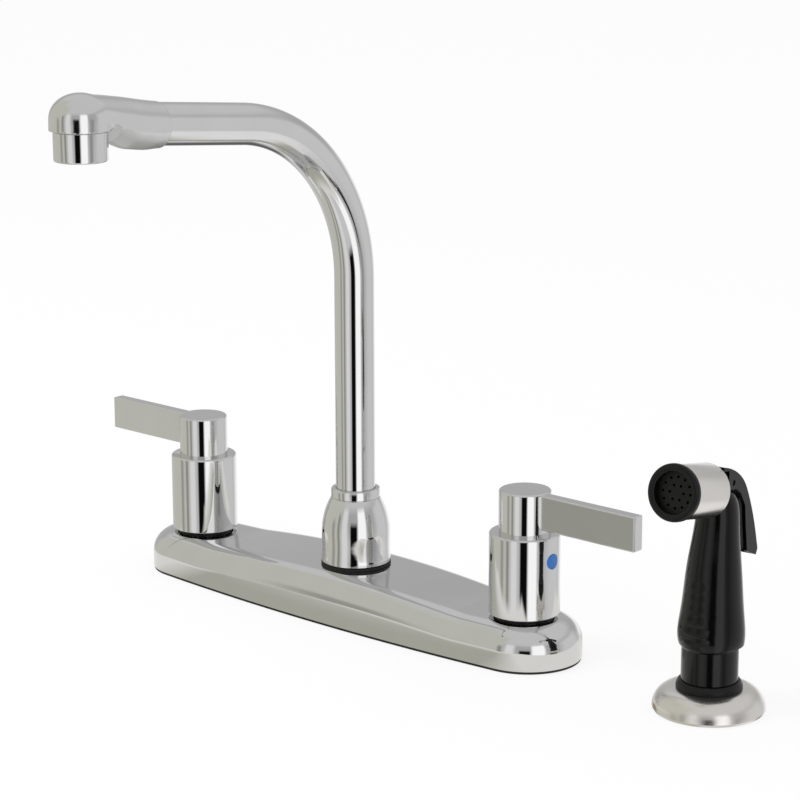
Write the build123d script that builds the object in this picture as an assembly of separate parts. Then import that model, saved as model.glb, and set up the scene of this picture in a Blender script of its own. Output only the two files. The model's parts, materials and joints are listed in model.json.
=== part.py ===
from build123d import *
import os
from math import atan, cos, radians, sin

# A two handle kitchen faucet with a high gooseneck spout and a separate side sprayer.
# X runs along the deck plate towards the cold handle, -Y points at the user and +Z up.
# The origin is on the spout's turning axis, on the sink deck. All sizes are in millimetres.

# ---- Hole pattern in the sink deck ----
handle_spacing = 203.2
sprayer_x = 201.7

# ---- Deck plate: bowed in plan, crowned in front view ----
plate_length = 255.6
plate_end_radius = 24.7
plate_width = 58.7
plate_end_height = 19.2
plate_crown = 3.4
plate_flat_start = 84.0
crown_blend_radius = 120.0
plate_edge_radius = 11.0
plate_wall = 2.2
gasket_thickness = 1.2
gasket_inset = 0.4

# ---- Clearances ----
seat_gap = 0.3
thread_gap = 0.05
running_gap = 0.06
hole_gap = 0.6
cut_past = 1.0
quarter_turn = 90

# ---- Waterway under the plate ----
boss_radius = 14.0
boss_height = 7.0
valve_body_radius = 11.0
valve_neck_radius = 9.8
valve_thread_height = 4.8
valve_neck_height = 9.0
valve_bore_radius = 8.2
duct_radius = 5.2
duct_bore_radius = 3.6
duct_clearance = 0.8
valve_bore_drop = 3.0
post_radius = 11.6
post_rise = 15.4
post_bore_radius = 8.96
post_bore_depth = 22.0
diverter_chamber_radius = 6.2
diverter_chamber_depth = 9.0
socket_depth = 4.8
inlet_hole_radius = 5.0
outlet_hole_radius = 3.0

# ---- Threaded tails and their nuts under the deck ----
shank_radius = 10.48
shank_bore_radius = 6.5
shank_length = 50.0
shank_tail_length = 20.0
shank_relief = 0.25
nipple_radius = 6.6
nipple_bore_radius = 4.0
nipple_step = 0.2
nipple_length = 30.0
deck_space = 20.0
washer_radius = 19.0
washer_thickness = 3.0
shank_nut_radius = 18.0
shank_nut_height = 7.0

# ---- Valve parts ----
lock_nut_radius = 13.1
lock_nut_height = 3.4
lock_nut_slot = 3.0
lock_nut_slot_count = 4
seat_ring_height = 2.0
fixed_disc_height = 3.0
moving_disc_height = 2.6
disc_radius = 6.1
disc_rim = 1.5
disc_rib = 1.0
cartridge_flange_radius = 9.7
cartridge_flange_height = 2.2
cartridge_neck_radius = 6.2
cartridge_neck_height = 4.8
cartridge_port_radius = 3.0
cartridge_nut_radius = 13.1
cartridge_nut_height = 12.0
cartridge_nut_top = 2.0
stem_radius = 4.0
stem_collar_radius = 5.6
stem_collar_height = 3.0

# ---- Handles ----
skirt_radius = 15.8
skirt_wall = 2.2
skirt_gap = 1.5
skirt_top_wall = 5.9
skirt_edge_radius = 1.0
handle_boss_radius = 7.5
handle_boss_height = 9.6
handle_boss_clearance = 2.0
hub_radius = 11.6
hub_height = 19.1
hub_edge_radius = 0.9
spigot_radius = 6.9
spigot_depth = 2.5
lever_reach = 61.9
lever_thickness = 6.0
lever_height = 15.6
lever_rise = 3.0
lever_edge_radius = 0.7
index_drop = 10.8
index_radius = 3.5
index_thickness = 1.7
index_proud = 0.2
set_screw_radius = 2.0
set_screw_length = 7.0
set_screw_web = 2.0
lever_screw_radius = 2.0
lever_screw_length = 12.0
lever_screw_head_radius = 3.8
lever_screw_head_height = 1.8

# ---- Spout ----
bell_radius = 15.95
bell_foot_radius = 16.15
bell_waist_radius = 15.6
bell_neck_radius = 11.0
bell_collar_radius = 11.4
bell_height = 35.2
bell_collar_height = 4.0
bell_swell_radius = 35.0
bell_swell_height = 13.5
bell_waist_height = 7.0
bell_foot_height = 1.6
bell_foot_chamfer = 0.5
bell_foot_lean = 0.3
bell_groove_height = 0.6
bell_edge_radius = 0.9
seal_height = 1.2
seal_overhang = 0.1
spout_tube_radius = 9.15
spout_tube_wall = 1.0
spout_bend_start = 157.7
spout_bend_radius = 77.2
spout_bend_angle = 84.3
spout_foot_flange_radius = 10.8
spout_foot_flange_height = 2.2
spout_foot_bore_radius = 6.4
spout_foot_length = 12.0
spout_foot_spigot = 11.0
o_ring_radius = 0.9
o_ring_shares = (0.3, 0.65)
outlet_reach = 160.6
outlet_rim_drop = 2.6
spout_tube_gap = 24.6
head_dome_radius = 12.8
head_dome_side = 5.0
head_dome_rise = 10.3
# Each section of the head: how far behind the outlet, how far above the tube's line, half width, half height
head_sections = (
    (41.1, 0.0, 9.95, 9.9),
    (32.6, -0.35, 10.7, 10.6),
    (21.6, 0.45, 11.2, 10.85),
    (12.6, 2.25, 11.7, 9.6),
    (2.6, 4.65, 12.1, 7.7),
)
head_bore_radius = 5.8
head_bore_height = 9.0
head_passage_radius = 3.6
head_passage_climb = 14.0
aerator_radius = 11.2
aerator_height = 12.5
aerator_thread_radius = 10.0
aerator_thread_height = 5.5
aerator_bore_radius = 9.4
aerator_lip_radius = 8.6
aerator_lip_height = 1.4
aerator_edge_radius = 0.8
aerator_insert_height = 9.0
aerator_floor = 2.4
aerator_chamber_radius = 7.4
aerator_washer_height = 1.6
aerator_slot_count = 6
aerator_slot_length = 4.2
aerator_slot_width = 1.8

# ---- Diverter ----
diverter_seat_height = 5.0
diverter_seat_bore_radius = 4.0
diverter_head_radius = 5.4
diverter_head_height = 2.0
diverter_stroke = 3.0
diverter_cap_radius = 6.4
diverter_cap_height = 1.6

# ---- Side sprayer, drawn at the origin and pointing at -Y, then moved to its own deck hole ----
sprayer_turn = 5.0
head_tilt = 10.2
head_height = 94.9
nozzle_front = 33.7
nozzle_thickness = 2.5
nozzle_radius = 11.9
nozzle_edge_radius = 1.1
nozzle_recess_radius = 8.7
nozzle_recess_depth = 3.4
ring_back = 6.7
ring_radius = 11.35
ring_wall = 1.4
barrel_back = 3.0
barrel_back_radius = 6.4
barrel_neck_radius = 8.2
chamber_radius = 6.4
chamber_back = 5.2
face_thickness = 2.2
face_boss_radius = 4.6
face_hole_radius = 0.6
inner_hole_row = 3.2
inner_hole_count = 6
outer_hole_row = 6.4
outer_hole_count = 12
grip_step_height = 27.5
grip_sleeve_radius = 12.0
# Each section of the grip: share of the way from its step to the head, radius, how far it leans back
grip_sections = (
    (0.02, 13.7, 0.8),
    (0.23, 13.2, 0.9),
    (0.4525, 11.8, 1.4),
    (0.63, 10.4, 2.1),
    (0.764, 9.4, 3.0),
    (0.8975, 8.6, 3.2),
    (0.9865, 6.5, 1.5),
)
grip_bore_radius = 4.2
grip_nut_socket_radius = 8.0
grip_nut_socket_depth = 9.0
scallop_count = 6
scallop_radius = 3.4
scallop_depth = 0.5
scallop_rise = 5.5
scallop_pitch = 4.6
scallop_length = 40.0
lug_width = 9.0
lug_drop = 12.3
pivot_y = 4.5
pivot_rise = 2.9
# Lines of the lug and of the thumb lever, as (back, up) from the lever's pivot
lug_back_line = ((-6.5, 3.6), (-1.0, 3.2), (3.5, 0.0), (6.5, -3.6), (8.1, -7.8))
pin_radius = 1.2
trigger_wall = 1.7
trigger_back_line = ((-8.0, 8.1), (-1.4, 6.0), (8.9, -1.4), (12.8, -8.0), (17.6, -19.9), (21.3, -33.0))
trigger_front_line = (
    (20.0, -35.5),
    (12.5, -32.2),
    (10.7, -19.8),
    (9.9, -11.8),
    (6.1, -5.8),
    (2.5, -3.2),
    (-3.9, -2.2),
    (-3.9, 5.8),
)
plunger_radius = 1.5
plunger_head_radius = 4.6
plunger_head_height = 2.0
plunger_gap = 0.37
plunger_travel = 2.0
spring_radius = 3.6
spring_wall = 0.8
spring_length = 9.0

# ---- Sprayer holder in the deck ----
flange_radius = 23.8
flange_foot_radius = 23.1
flange_widest_height = 1.2
flange_height = 9.8
flange_top_radius = 15.5
flange_wall = 1.6
holder_rim_radius = 14.0
holder_rim_height = 1.4
holder_cup_radius = 12.9
holder_cup_height = 3.4
holder_tail_radius = 12.0
holder_tail_length = 46.0
holder_bore_radius = 10.4
hose_nut_radius = 9.6
hose_nut_length = 12.0
hose_bore_radius = 3.6
holder_nut_radius = 20.0
holder_nut_hub_wall = 3.0
holder_nut_height = 8.0
holder_wing_thickness = 4.0
holder_wing_count = 4

half_spacing = handle_spacing / 2
plate_top = plate_end_height + plate_crown
skirt_base = plate_end_height + skirt_gap
duct_height = plate_end_height - plate_wall - duct_clearance - duct_radius
valve_bore_floor = duct_height - valve_bore_drop
valve_neck_start = plate_end_height + valve_thread_height
valve_body_top = valve_neck_start + valve_neck_height
post_top = plate_top + post_rise
post_bore_floor = post_top - post_bore_depth
diverter_chamber_floor = post_bore_floor - diverter_chamber_depth
valve_names = ("hot", "cold")


def side_of(name):
    """Which way a handle stands from the spout along X: the hot one to -X, the cold one to +X."""
    return -1 if name == "hot" else 1


# ---- Plain shapes ----
def rod(radius, low, high):
    """An upright cylinder on the Z axis between two heights."""
    return Pos(0, 0, low) * Cylinder(radius, high - low, align=(Align.CENTER, Align.CENTER, Align.MIN))


def tube(outer, bore, low, high):
    """An upright tube on the Z axis between two heights."""
    return rod(outer, low, high) - rod(bore, low, high)


def cone(low_radius, high_radius, low, high):
    """An upright cone on the Z axis between two heights."""
    shape = Cone(low_radius, high_radius, high - low, align=(Align.CENTER, Align.CENTER, Align.MIN))
    return Pos(0, 0, low) * shape


def hexagon(radius, low, high):
    """An upright hexagonal prism, its radius taken over the corners."""
    return Pos(0, 0, low) * extrude(RegularPolygon(radius, 6), high - low)


def turned(edges):
    """A solid of revolution about Z from a closed half section drawn in the XZ plane."""
    return revolve(make_face(Plane.XZ * (Curve() + edges)), Axis.Z)


def profile(points):
    """A closed face in the YZ plane from its (y, z) corners."""
    return make_face(Plane.YZ * Polyline(*points, close=True))


def quarter_ellipse(centre, wide, tall):
    """The upper right quarter of an ellipse."""
    return EllipticalCenterArc(centre, wide, tall, start_angle=0, arc_size=quarter_turn)


def slab(face, width):
    """A face in the YZ plane given an equal thickness on both sides of it."""
    return extrude(face, width / 2, both=True)


def radial(radius, start, end, height, side):
    """A level cylinder that runs outward along X on one side."""
    length = end - start
    return Pos(side * (start + length / 2), 0, height) * Rot(0, quarter_turn, 0) * Cylinder(radius, length)


def around(shape, count):
    """Copies of a shape spread evenly about the Z axis."""
    return [Rot(0, 0, 360 / count * turn) * shape for turn in range(count)]


def at_handle(shape, side):
    """The shape moved from the origin to one of the two valves."""
    return Pos(side * half_spacing, 0, 0) * shape


def both_valves(shape):
    """Two copies of a shape, one on each valve."""
    return Compound(children=[Part() + at_handle(shape, side) for side in map(side_of, valve_names)])


# ---- Deck plate and gasket ----
def plate_outline(inset):
    """The plan of the deck plate, two end arcs tangent to two long bowed sides."""
    end_radius = plate_end_radius - inset
    half_width = plate_width / 2 - inset
    end_x = plate_length / 2 - plate_end_radius
    side_radius = (end_x**2 + half_width**2 - end_radius**2) / (2 * (half_width - end_radius))
    side_drop = side_radius - half_width
    share = end_radius / (side_radius - end_radius)
    touch = (end_x * (1 + share), side_drop * share)
    corners = [(touch[0] * a, touch[1] * b) for a, b in ((1, 1), (-1, 1), (-1, -1), (1, -1))]
    back = ThreePointArc(corners[0], (0, half_width), corners[1])
    left = ThreePointArc(corners[1], (-end_x - end_radius, 0), corners[2])
    front = ThreePointArc(corners[2], (0, -half_width), corners[3])
    right = ThreePointArc(corners[3], (end_x + end_radius, 0), corners[0])
    return make_face(Curve() + [back, left, front, right])


def crowned_block(top_drop):
    """Everything below the plate's top face: level at both ends and crowned between."""
    far = plate_length
    low = plate_end_height - top_drop
    high = plate_top - top_drop
    crown_angle = 2 * atan(plate_crown / plate_flat_start)
    crown_radius = plate_flat_start / sin(crown_angle) - crown_blend_radius
    blend_x = crown_radius * sin(crown_angle)
    blend_z = high - crown_radius * (1 - cos(crown_angle))
    flats = [
        Line((-far, low), (-plate_flat_start, low)),
        Line((plate_flat_start, low), (far, low)),
        Polyline((far, low), (far, 0), (-far, 0), (-far, low)),
    ]
    blends = [
        TangentArc((-plate_flat_start, low), (-blend_x, blend_z), tangent=(1, 0)),
        TangentArc((plate_flat_start, low), (blend_x, blend_z), tangent=(-1, 0)),
    ]
    crown = ThreePointArc((-blend_x, blend_z), (0, high), (blend_x, blend_z))
    section = make_face(Plane.XZ * (Curve() + flats + blends + [crown]))
    return extrude(section, plate_width, both=True)


def plate_solid(inset, edge_radius):
    """A solid bounded by the plate's outline and crowned top, with its upper edge rounded."""
    body = extrude(plate_outline(inset), 2 * plate_top) & crowned_block(inset)
    upper = body.edges().filter_by(lambda edge: edge.center().Z > plate_end_height / 2)
    return fillet([edge for edge in upper if is_on_outline(edge, inset)], edge_radius)


def is_on_outline(edge, inset):
    """True for an edge that lies along the plate's outline and not across its top."""
    middle = edge.position_at(0.5)
    half_width = plate_width / 2 - inset
    near_end = abs(middle.X) > plate_length / 2 - plate_end_radius
    return near_end or abs(middle.Y) > half_width - plate_end_radius / 2


def deck_plate():
    shell = plate_solid(0, plate_edge_radius)
    shell -= plate_solid(plate_wall, plate_edge_radius - plate_wall)
    shell -= Box(2 * plate_length, 2 * plate_width, 2 * gasket_thickness)
    shell -= rod(post_radius + hole_gap, 0, 2 * plate_top)
    for side in map(side_of, valve_names):
        shell -= at_handle(rod(valve_body_radius + hole_gap, 0, plate_top), side)
    return shell


def deck_gasket():
    sheet = extrude(plate_outline(gasket_inset), gasket_thickness)
    sheet -= rod(nipple_radius + nipple_step + hole_gap, 0, gasket_thickness)
    for side in map(side_of, valve_names):
        sheet -= at_handle(rod(shank_radius + hole_gap, 0, gasket_thickness), side)
    return sheet


# ---- Waterway ----
def waterway():
    base = gasket_thickness
    valve = rod(boss_radius, base, base + boss_height)
    valve += rod(valve_body_radius, base, valve_neck_start)
    valve += rod(valve_neck_radius, valve_neck_start, valve_body_top)
    post = rod(boss_radius, base, base + boss_height) + rod(post_radius, base, post_top)
    duct = Pos(0, 0, duct_height) * Rot(0, quarter_turn, 0) * Cylinder(duct_radius, handle_spacing)
    body = duct + post
    for side in map(side_of, valve_names):
        body += at_handle(valve, side)
    body -= Pos(0, 0, duct_height) * Rot(0, quarter_turn, 0) * Cylinder(duct_bore_radius, handle_spacing)
    socket_top = base + socket_depth
    chamber = rod(shank_radius + thread_gap, base, socket_top)
    chamber += rod(inlet_hole_radius, socket_top, valve_bore_floor)
    chamber += rod(valve_bore_radius, valve_bore_floor, valve_body_top)
    for side in map(side_of, valve_names):
        body -= at_handle(chamber, side)
    body -= rod(nipple_radius + nipple_step + thread_gap, base, socket_top)
    body -= rod(outlet_hole_radius, socket_top, diverter_chamber_floor)
    body -= rod(diverter_chamber_radius, diverter_chamber_floor, post_bore_floor)
    body -= rod(post_bore_radius, post_bore_floor, post_top)
    return body


def shank():
    """A threaded inlet tail, with a plain end of slightly smaller size for the supply nut."""
    top = gasket_thickness + socket_depth
    end = -shank_length
    tail_top = end + shank_tail_length
    outside = rod(shank_radius - shank_relief, end, tail_top) + rod(shank_radius, tail_top, top)
    return outside - rod(shank_bore_radius, end, top)


def sprayer_hose_nipple():
    """The threaded outlet for the sprayer's hose, slightly larger where it is pressed into the waterway."""
    top = gasket_thickness + socket_depth
    outside = rod(nipple_radius, -nipple_length, 0) + rod(nipple_radius + nipple_step, 0, top)
    return outside - rod(nipple_bore_radius, -nipple_length, top)


def shank_washer():
    return tube(washer_radius, shank_radius + thread_gap, -deck_space - washer_thickness, -deck_space)


def shank_nut():
    top = -deck_space - washer_thickness
    low = top - shank_nut_height
    return hexagon(shank_nut_radius, low, top) - rod(shank_radius + thread_gap, low, top)


# ---- Valves ----
def lock_nut():
    """The slotted ring that clamps the plate down round a valve body."""
    low = plate_end_height
    ring = tube(lock_nut_radius, valve_body_radius + thread_gap, low, low + lock_nut_height)
    notch = Pos(lock_nut_radius, 0, low + lock_nut_height) * Box(lock_nut_slot, lock_nut_slot, lock_nut_slot)
    return ring - around(notch, lock_nut_slot_count)


seat_top = valve_bore_floor + seat_ring_height
fixed_disc_top = seat_top + fixed_disc_height
moving_disc_top = fixed_disc_top + moving_disc_height
cartridge_flange_top = valve_body_top + cartridge_flange_height
cartridge_neck_top = cartridge_flange_top + cartridge_neck_height
handle_boss_low = cartridge_neck_top + handle_boss_clearance
handle_cavity_top = handle_boss_low + handle_boss_height
skirt_top = handle_cavity_top + skirt_top_wall
index_height = skirt_top - index_drop
stem_top = handle_cavity_top - seat_gap


def valve_seat():
    return tube(valve_bore_radius - thread_gap, inlet_hole_radius, valve_bore_floor, seat_top)


def fixed_disc():
    """The lower ceramic disc, with two openings that the upper one covers."""
    disc = rod(disc_radius, seat_top, fixed_disc_top)
    return disc - disc_openings(seat_top, fixed_disc_top)


def moving_disc():
    """The upper ceramic disc, which turns with the stem."""
    disc = rod(disc_radius, fixed_disc_top, moving_disc_top)
    return disc - Rot(0, 0, quarter_turn) * disc_openings(fixed_disc_top, moving_disc_top)


def disc_openings(low, high):
    """Two quarter openings through a ceramic disc."""
    opening = tube(disc_radius - disc_rim, disc_rim, low, high)
    side = 2 * disc_radius - disc_rib
    quarter = Pos(disc_radius, disc_radius, (low + high) / 2) * Box(side, side, high - low)
    return (opening & quarter) + (opening & Rot(0, 0, 2 * quarter_turn) * quarter)


def cartridge():
    body = rod(valve_bore_radius - thread_gap, seat_top, valve_body_top)
    body += rod(cartridge_flange_radius, valve_body_top, cartridge_flange_top)
    body += rod(cartridge_neck_radius, cartridge_flange_top, cartridge_neck_top)
    cavity_radius = disc_radius + running_gap
    body -= rod(cavity_radius, seat_top, valve_body_top - seat_gap)
    body -= rod(stem_radius + running_gap, valve_body_top - seat_gap, cartridge_neck_top)
    port_height = moving_disc_top + cartridge_port_radius + seat_gap
    port = Rot(0, quarter_turn, 0) * Cylinder(cartridge_port_radius, 2 * valve_bore_radius)
    return body - Pos(0, 0, port_height) * port


def cartridge_nut():
    high = cartridge_flange_top + cartridge_nut_top
    low = high - cartridge_nut_height
    nut = hexagon(cartridge_nut_radius, low, high)
    nut -= rod(valve_neck_radius + thread_gap, low, cartridge_flange_top)
    return nut - rod(cartridge_neck_radius + thread_gap, cartridge_flange_top, high)


def stem():
    """The brass stem: a driving foot on the moving disc, a collar and the end in the handle."""
    low = moving_disc_top
    collar_low = valve_body_top - seat_gap * 2 - stem_collar_height
    body = rod(stem_radius, low, stem_top)
    body += rod(stem_collar_radius, collar_low, collar_low + stem_collar_height)
    return body


# ---- Handles ----
def handle_body(side):
    """The cup over the valve, with the boss that grips the stem and the set screw's hole."""
    cavity_top = handle_cavity_top
    boss_low = handle_boss_low
    cup = rod(skirt_radius, skirt_base, skirt_top)
    cup = fillet(cup.edges().group_by(Axis.Z)[-1], skirt_edge_radius)
    cup = fillet(cup.edges().group_by(Axis.Z)[0], skirt_edge_radius / 2)
    cup -= rod(skirt_radius - skirt_wall, skirt_base, cavity_top)
    cup += rod(handle_boss_radius, boss_low, cavity_top)
    web_radius = set_screw_radius + set_screw_web
    cup += radial(web_radius, stem_radius, skirt_radius - skirt_wall / 2, index_height, side)
    cup -= rod(stem_radius + thread_gap, boss_low, cavity_top)
    cup -= rod(lever_screw_radius + thread_gap, cavity_top, skirt_top)
    cup -= cone(
        lever_screw_head_radius + thread_gap,
        lever_screw_radius + thread_gap,
        cavity_top,
        cavity_top + lever_screw_head_height,
    )
    cup -= rod(spigot_radius + thread_gap, skirt_top - spigot_depth, skirt_top)
    outside = skirt_radius + cut_past
    cup -= radial(set_screw_radius + thread_gap, stem_radius / 2, outside, index_height, side)
    seat = skirt_radius - index_thickness
    return cup - radial(index_radius + thread_gap, seat, outside, index_height, side)


def lever(side):
    """The hub on the handle body and the flat blade that runs outward from it."""
    hub_top = skirt_top + hub_height
    hub = rod(hub_radius, skirt_top, hub_top)
    hub = fillet(hub.edges().group_by(Axis.Z)[-1], hub_edge_radius)
    hub += rod(spigot_radius, skirt_top - spigot_depth, skirt_top)
    blade_height = skirt_top + lever_rise + lever_height / 2
    blade = Pos(side * lever_reach / 2, 0, blade_height) * Box(lever_reach, lever_thickness, lever_height)
    outer_edges = blade.edges().filter_by(lambda edge: side * edge.center().X > hub_radius)
    hub += fillet(outer_edges, lever_edge_radius)
    low = skirt_top - spigot_depth
    return hub - rod(lever_screw_radius + thread_gap, low, low + lever_screw_length)


def lever_screw():
    low = handle_cavity_top + thread_gap
    head_top = low + lever_screw_head_height
    return cone(lever_screw_head_radius, lever_screw_radius, low, head_top) + rod(
        lever_screw_radius, head_top, head_top + lever_screw_length
    )


def set_screw(side):
    start = stem_radius + thread_gap
    screw = radial(set_screw_radius, start, start + set_screw_length, index_height, side)
    socket = Pos(side * (start + set_screw_length), 0, index_height) * Rot(0, quarter_turn, 0) * extrude(
        RegularPolygon(set_screw_radius / 2, 6), set_screw_radius, both=True
    )
    return screw - socket


def index_button(side):
    """The coloured plug over the set screw, its face curved like the handle."""
    start = skirt_radius - index_thickness
    plug = radial(index_radius, start, skirt_radius + cut_past, index_height, side)
    return plug & rod(skirt_radius + index_proud, skirt_base, skirt_top)


# ---- Spout ----
bell_base = plate_top + seal_height
bell_shoulder = post_top + spout_foot_flange_height + 2 * seat_gap


def spout_bell():
    """The egg-shaped nut: a flared foot, a slight waist, a long swell and a small collar."""
    top = bell_base + bell_height
    collar_low = top - bell_collar_height
    foot = (bell_foot_radius, bell_base + bell_foot_height)
    waist = (bell_waist_radius, bell_base + bell_waist_height)
    swell = (bell_radius, bell_base + bell_swell_height)
    rise = collar_low - bell_groove_height - swell[1]
    neck_radius = bell_radius - bell_swell_radius + (bell_swell_radius**2 - rise**2) ** 0.5
    neck = (neck_radius, swell[1] + rise)
    edge = bell_edge_radius
    groove = (bell_neck_radius, collar_low - bell_groove_height / 2)
    foot_start = (bell_foot_radius - bell_foot_chamfer, bell_base)
    outside = [
        Polyline(foot_start, (bell_foot_radius, bell_base + bell_foot_chamfer), foot),
        Spline(foot, waist, swell, tangents=((-bell_foot_lean, 1), (0, 1))),
        TangentArc(swell, neck, tangent=(0, 1)),
        Polyline(neck, groove, (bell_collar_radius, collar_low)),
        Line((bell_collar_radius, collar_low), (bell_collar_radius, top - edge)),
        TangentArc((bell_collar_radius, top - edge), (bell_collar_radius - edge, top), tangent=(0, 1)),
    ]
    bore = spout_tube_radius + seat_gap
    thread = post_radius + thread_gap
    inside = [
        Polyline(
            (bell_collar_radius - edge, top),
            (bore, top),
            (bore, bell_shoulder),
            (thread, bell_shoulder),
            (thread, bell_base),
            foot_start,
        )
    ]
    return turned(outside + inside)


def spout_seal_ring():
    return tube(bell_foot_radius + seal_overhang, post_radius + hole_gap, plate_top, bell_base)


def spout_path(start_height, end_y):
    """The centre line of the gooseneck: a rise, one bend and a run to the head."""
    rise = Line((0, 0, start_height), (0, 0, spout_bend_start))
    angle = radians(spout_bend_angle)
    reach = spout_bend_radius * (1 - cos(angle))
    bend_end = (0, -reach, spout_bend_start + spout_bend_radius * sin(angle))
    half = angle / 2
    bend_middle = (0, -spout_bend_radius * (1 - cos(half)), spout_bend_start + spout_bend_radius * sin(half))
    bend = ThreePointArc((0, 0, spout_bend_start), bend_middle, bend_end)
    run = Line(bend_end, (0, -end_y, run_height(end_y)))
    return Curve() + [rise, bend, run]


def run_height(reach):
    """The height of the tube's centre line past the bend, at a distance in front of the post."""
    angle = radians(spout_bend_angle)
    bend_reach = spout_bend_radius * (1 - cos(angle))
    bend_height = spout_bend_start + spout_bend_radius * sin(angle)
    return bend_height + (reach - bend_reach) * cos(angle) / sin(angle)


def on_run(shape):
    """A piece drawn along +Z, laid on the run with its origin at the tube's end and +Z outward."""
    return Pos(0, -spout_tube_end, run_height(spout_tube_end)) * Rot(spout_bend_angle, 0, 0) * shape


def tube_along(start_height, end_y, radius):
    return sweep(Pos(0, 0, start_height) * Circle(radius), path=spout_path(start_height, end_y))


tube_base = post_top + seat_gap + spout_foot_flange_height
spout_tube_end = outlet_reach - spout_tube_gap
outlet_rim_height = run_height(outlet_reach) - outlet_rim_drop
aerator_low = outlet_rim_height - aerator_height


def spout_tube():
    outside = tube_along(tube_base, spout_tube_end, spout_tube_radius)
    return outside - tube_along(tube_base, spout_tube_end, spout_tube_radius - spout_tube_wall)


def spout_foot():
    """The brass end that turns in the post, with its flange, spigot and two ring grooves."""
    flange_low = post_top + seat_gap
    low = flange_low - spout_foot_length
    plug_radius = post_bore_radius - running_gap
    body = rod(plug_radius, low, flange_low)
    body += rod(spout_foot_flange_radius, flange_low, tube_base)
    spigot_radius_inside = spout_tube_radius - spout_tube_wall - thread_gap
    body += rod(spigot_radius_inside, tube_base, tube_base + spout_foot_spigot)
    for height in o_ring_heights():
        groove = o_ring_radius + thread_gap
        body -= tube(plug_radius + 1, plug_radius - 2 * o_ring_radius, height - groove, height + groove)
    return body - rod(spout_foot_bore_radius, low, tube_base + spout_foot_spigot)


def o_ring_heights():
    """The heights of the two rings, spread evenly over the part inside the post."""
    low = post_top + seat_gap - spout_foot_length
    return [low + spout_foot_length * share for share in o_ring_shares]


def spout_o_rings():
    centre = post_bore_radius - running_gap - o_ring_radius
    ring = Torus(centre, o_ring_radius)
    return Compound(children=[Part() + Pos(0, 0, height) * ring for height in o_ring_heights()])


def spout_head():
    """The cast head: a barrel that swells from the tube and turns down in a dome over the outlet."""
    rings = [head_ring(*section) for section in head_sections]
    head = loft(rings) + head_dome()
    low = outlet_rim_height
    thread_top = low + aerator_thread_height + aerator_washer_height
    head -= at_outlet(rod(aerator_radius + seat_gap, aerator_low, low))
    head -= at_outlet(rod(aerator_thread_radius + thread_gap, low, thread_top))
    head -= at_outlet(rod(head_bore_radius, low, low + head_bore_height))
    socket_length = head_sections[0][0] - spout_tube_gap
    head -= on_run(rod(spout_tube_radius + thread_gap, -2 * socket_length, 0))
    passage_length = spout_tube_gap / sin(radians(spout_bend_angle - head_passage_climb))
    passage = Rot(-head_passage_climb, 0, 0) * rod(head_passage_radius, -head_passage_radius, passage_length)
    return head - on_run(passage)


def head_ring(back, rise, half_width, half_height):
    """One section of the head, drawn upright at a distance behind the outlet."""
    reach = outlet_reach - back
    place = Plane(origin=(0, -reach, run_height(reach) + rise), x_dir=(1, 0, 0), z_dir=(0, -1, 0))
    return place * Ellipse(half_width, half_height)


def at_outlet(shape):
    """A piece drawn on the Z axis, moved over to the outlet's axis."""
    return Pos(0, -outlet_reach, 0) * shape


def head_dome():
    """The round end of the head, a short upright side under a flattened dome."""
    low = outlet_rim_height
    side_top = low + head_dome_side
    top = side_top + head_dome_rise
    edges = [
        Polyline((0, top), (0, low), (head_dome_radius, low), (head_dome_radius, side_top)),
        quarter_ellipse((0, side_top), head_dome_radius, head_dome_rise),
    ]
    return at_outlet(turned(edges))


def aerator_housing():
    rim = outlet_rim_height
    thread_top = rim + aerator_thread_height
    ring = rod(aerator_radius, aerator_low, rim)
    ring = fillet(ring.edges().group_by(Axis.Z)[0], aerator_edge_radius)
    ring += rod(aerator_thread_radius, rim, thread_top)
    ring -= rod(aerator_lip_radius, aerator_low, thread_top)
    ring -= rod(aerator_bore_radius, aerator_low + aerator_lip_height, thread_top)
    return at_outlet(ring)


def aerator_insert():
    """The plastic insert with the slots that the water leaves by."""
    low = aerator_low + aerator_lip_height + thread_gap
    insert = rod(aerator_bore_radius - thread_gap, low, low + aerator_insert_height)
    slot_middle = aerator_chamber_radius - aerator_slot_length / 2
    slot = Pos(slot_middle, 0, low) * Box(aerator_slot_length, aerator_slot_width, 2 * aerator_floor)
    insert -= around(slot, aerator_slot_count)
    insert -= rod(aerator_chamber_radius, low + aerator_floor, low + aerator_insert_height)
    return at_outlet(insert)


def aerator_washer():
    low = outlet_rim_height + aerator_thread_height
    return at_outlet(tube(aerator_thread_radius, head_bore_radius, low, low + aerator_washer_height))


# ---- Diverter ----
def diverter_seat():
    return tube(
        post_bore_radius - thread_gap,
        diverter_seat_bore_radius,
        post_bore_floor,
        post_bore_floor + diverter_seat_height,
    )


def diverter_piston():
    """The loose piston: a head below its seat, a shaft through it and a cap above."""
    cap_low = post_bore_floor + diverter_seat_height + seat_gap
    head_low = post_bore_floor - diverter_stroke - seat_gap - diverter_head_height
    shaft_radius = diverter_seat_bore_radius - running_gap
    piston = rod(diverter_head_radius, head_low, head_low + diverter_head_height)
    piston += rod(shaft_radius, head_low, cap_low)
    return piston + rod(diverter_cap_radius, cap_low, cap_low + diverter_cap_height)


# ---- Side sprayer ----
def placed(shape):
    """A sprayer piece turned to its resting direction and moved to its deck hole."""
    return Pos(sprayer_x, 0, 0) * Rot(0, 0, sprayer_turn) * shape


def on_head(shape):
    """A piece drawn along +Z, laid on the sprayer head's tilted axis with +Z to the nozzle."""
    return Pos(0, 0, head_height) * Rot(quarter_turn - head_tilt, 0, 0) * shape


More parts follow.
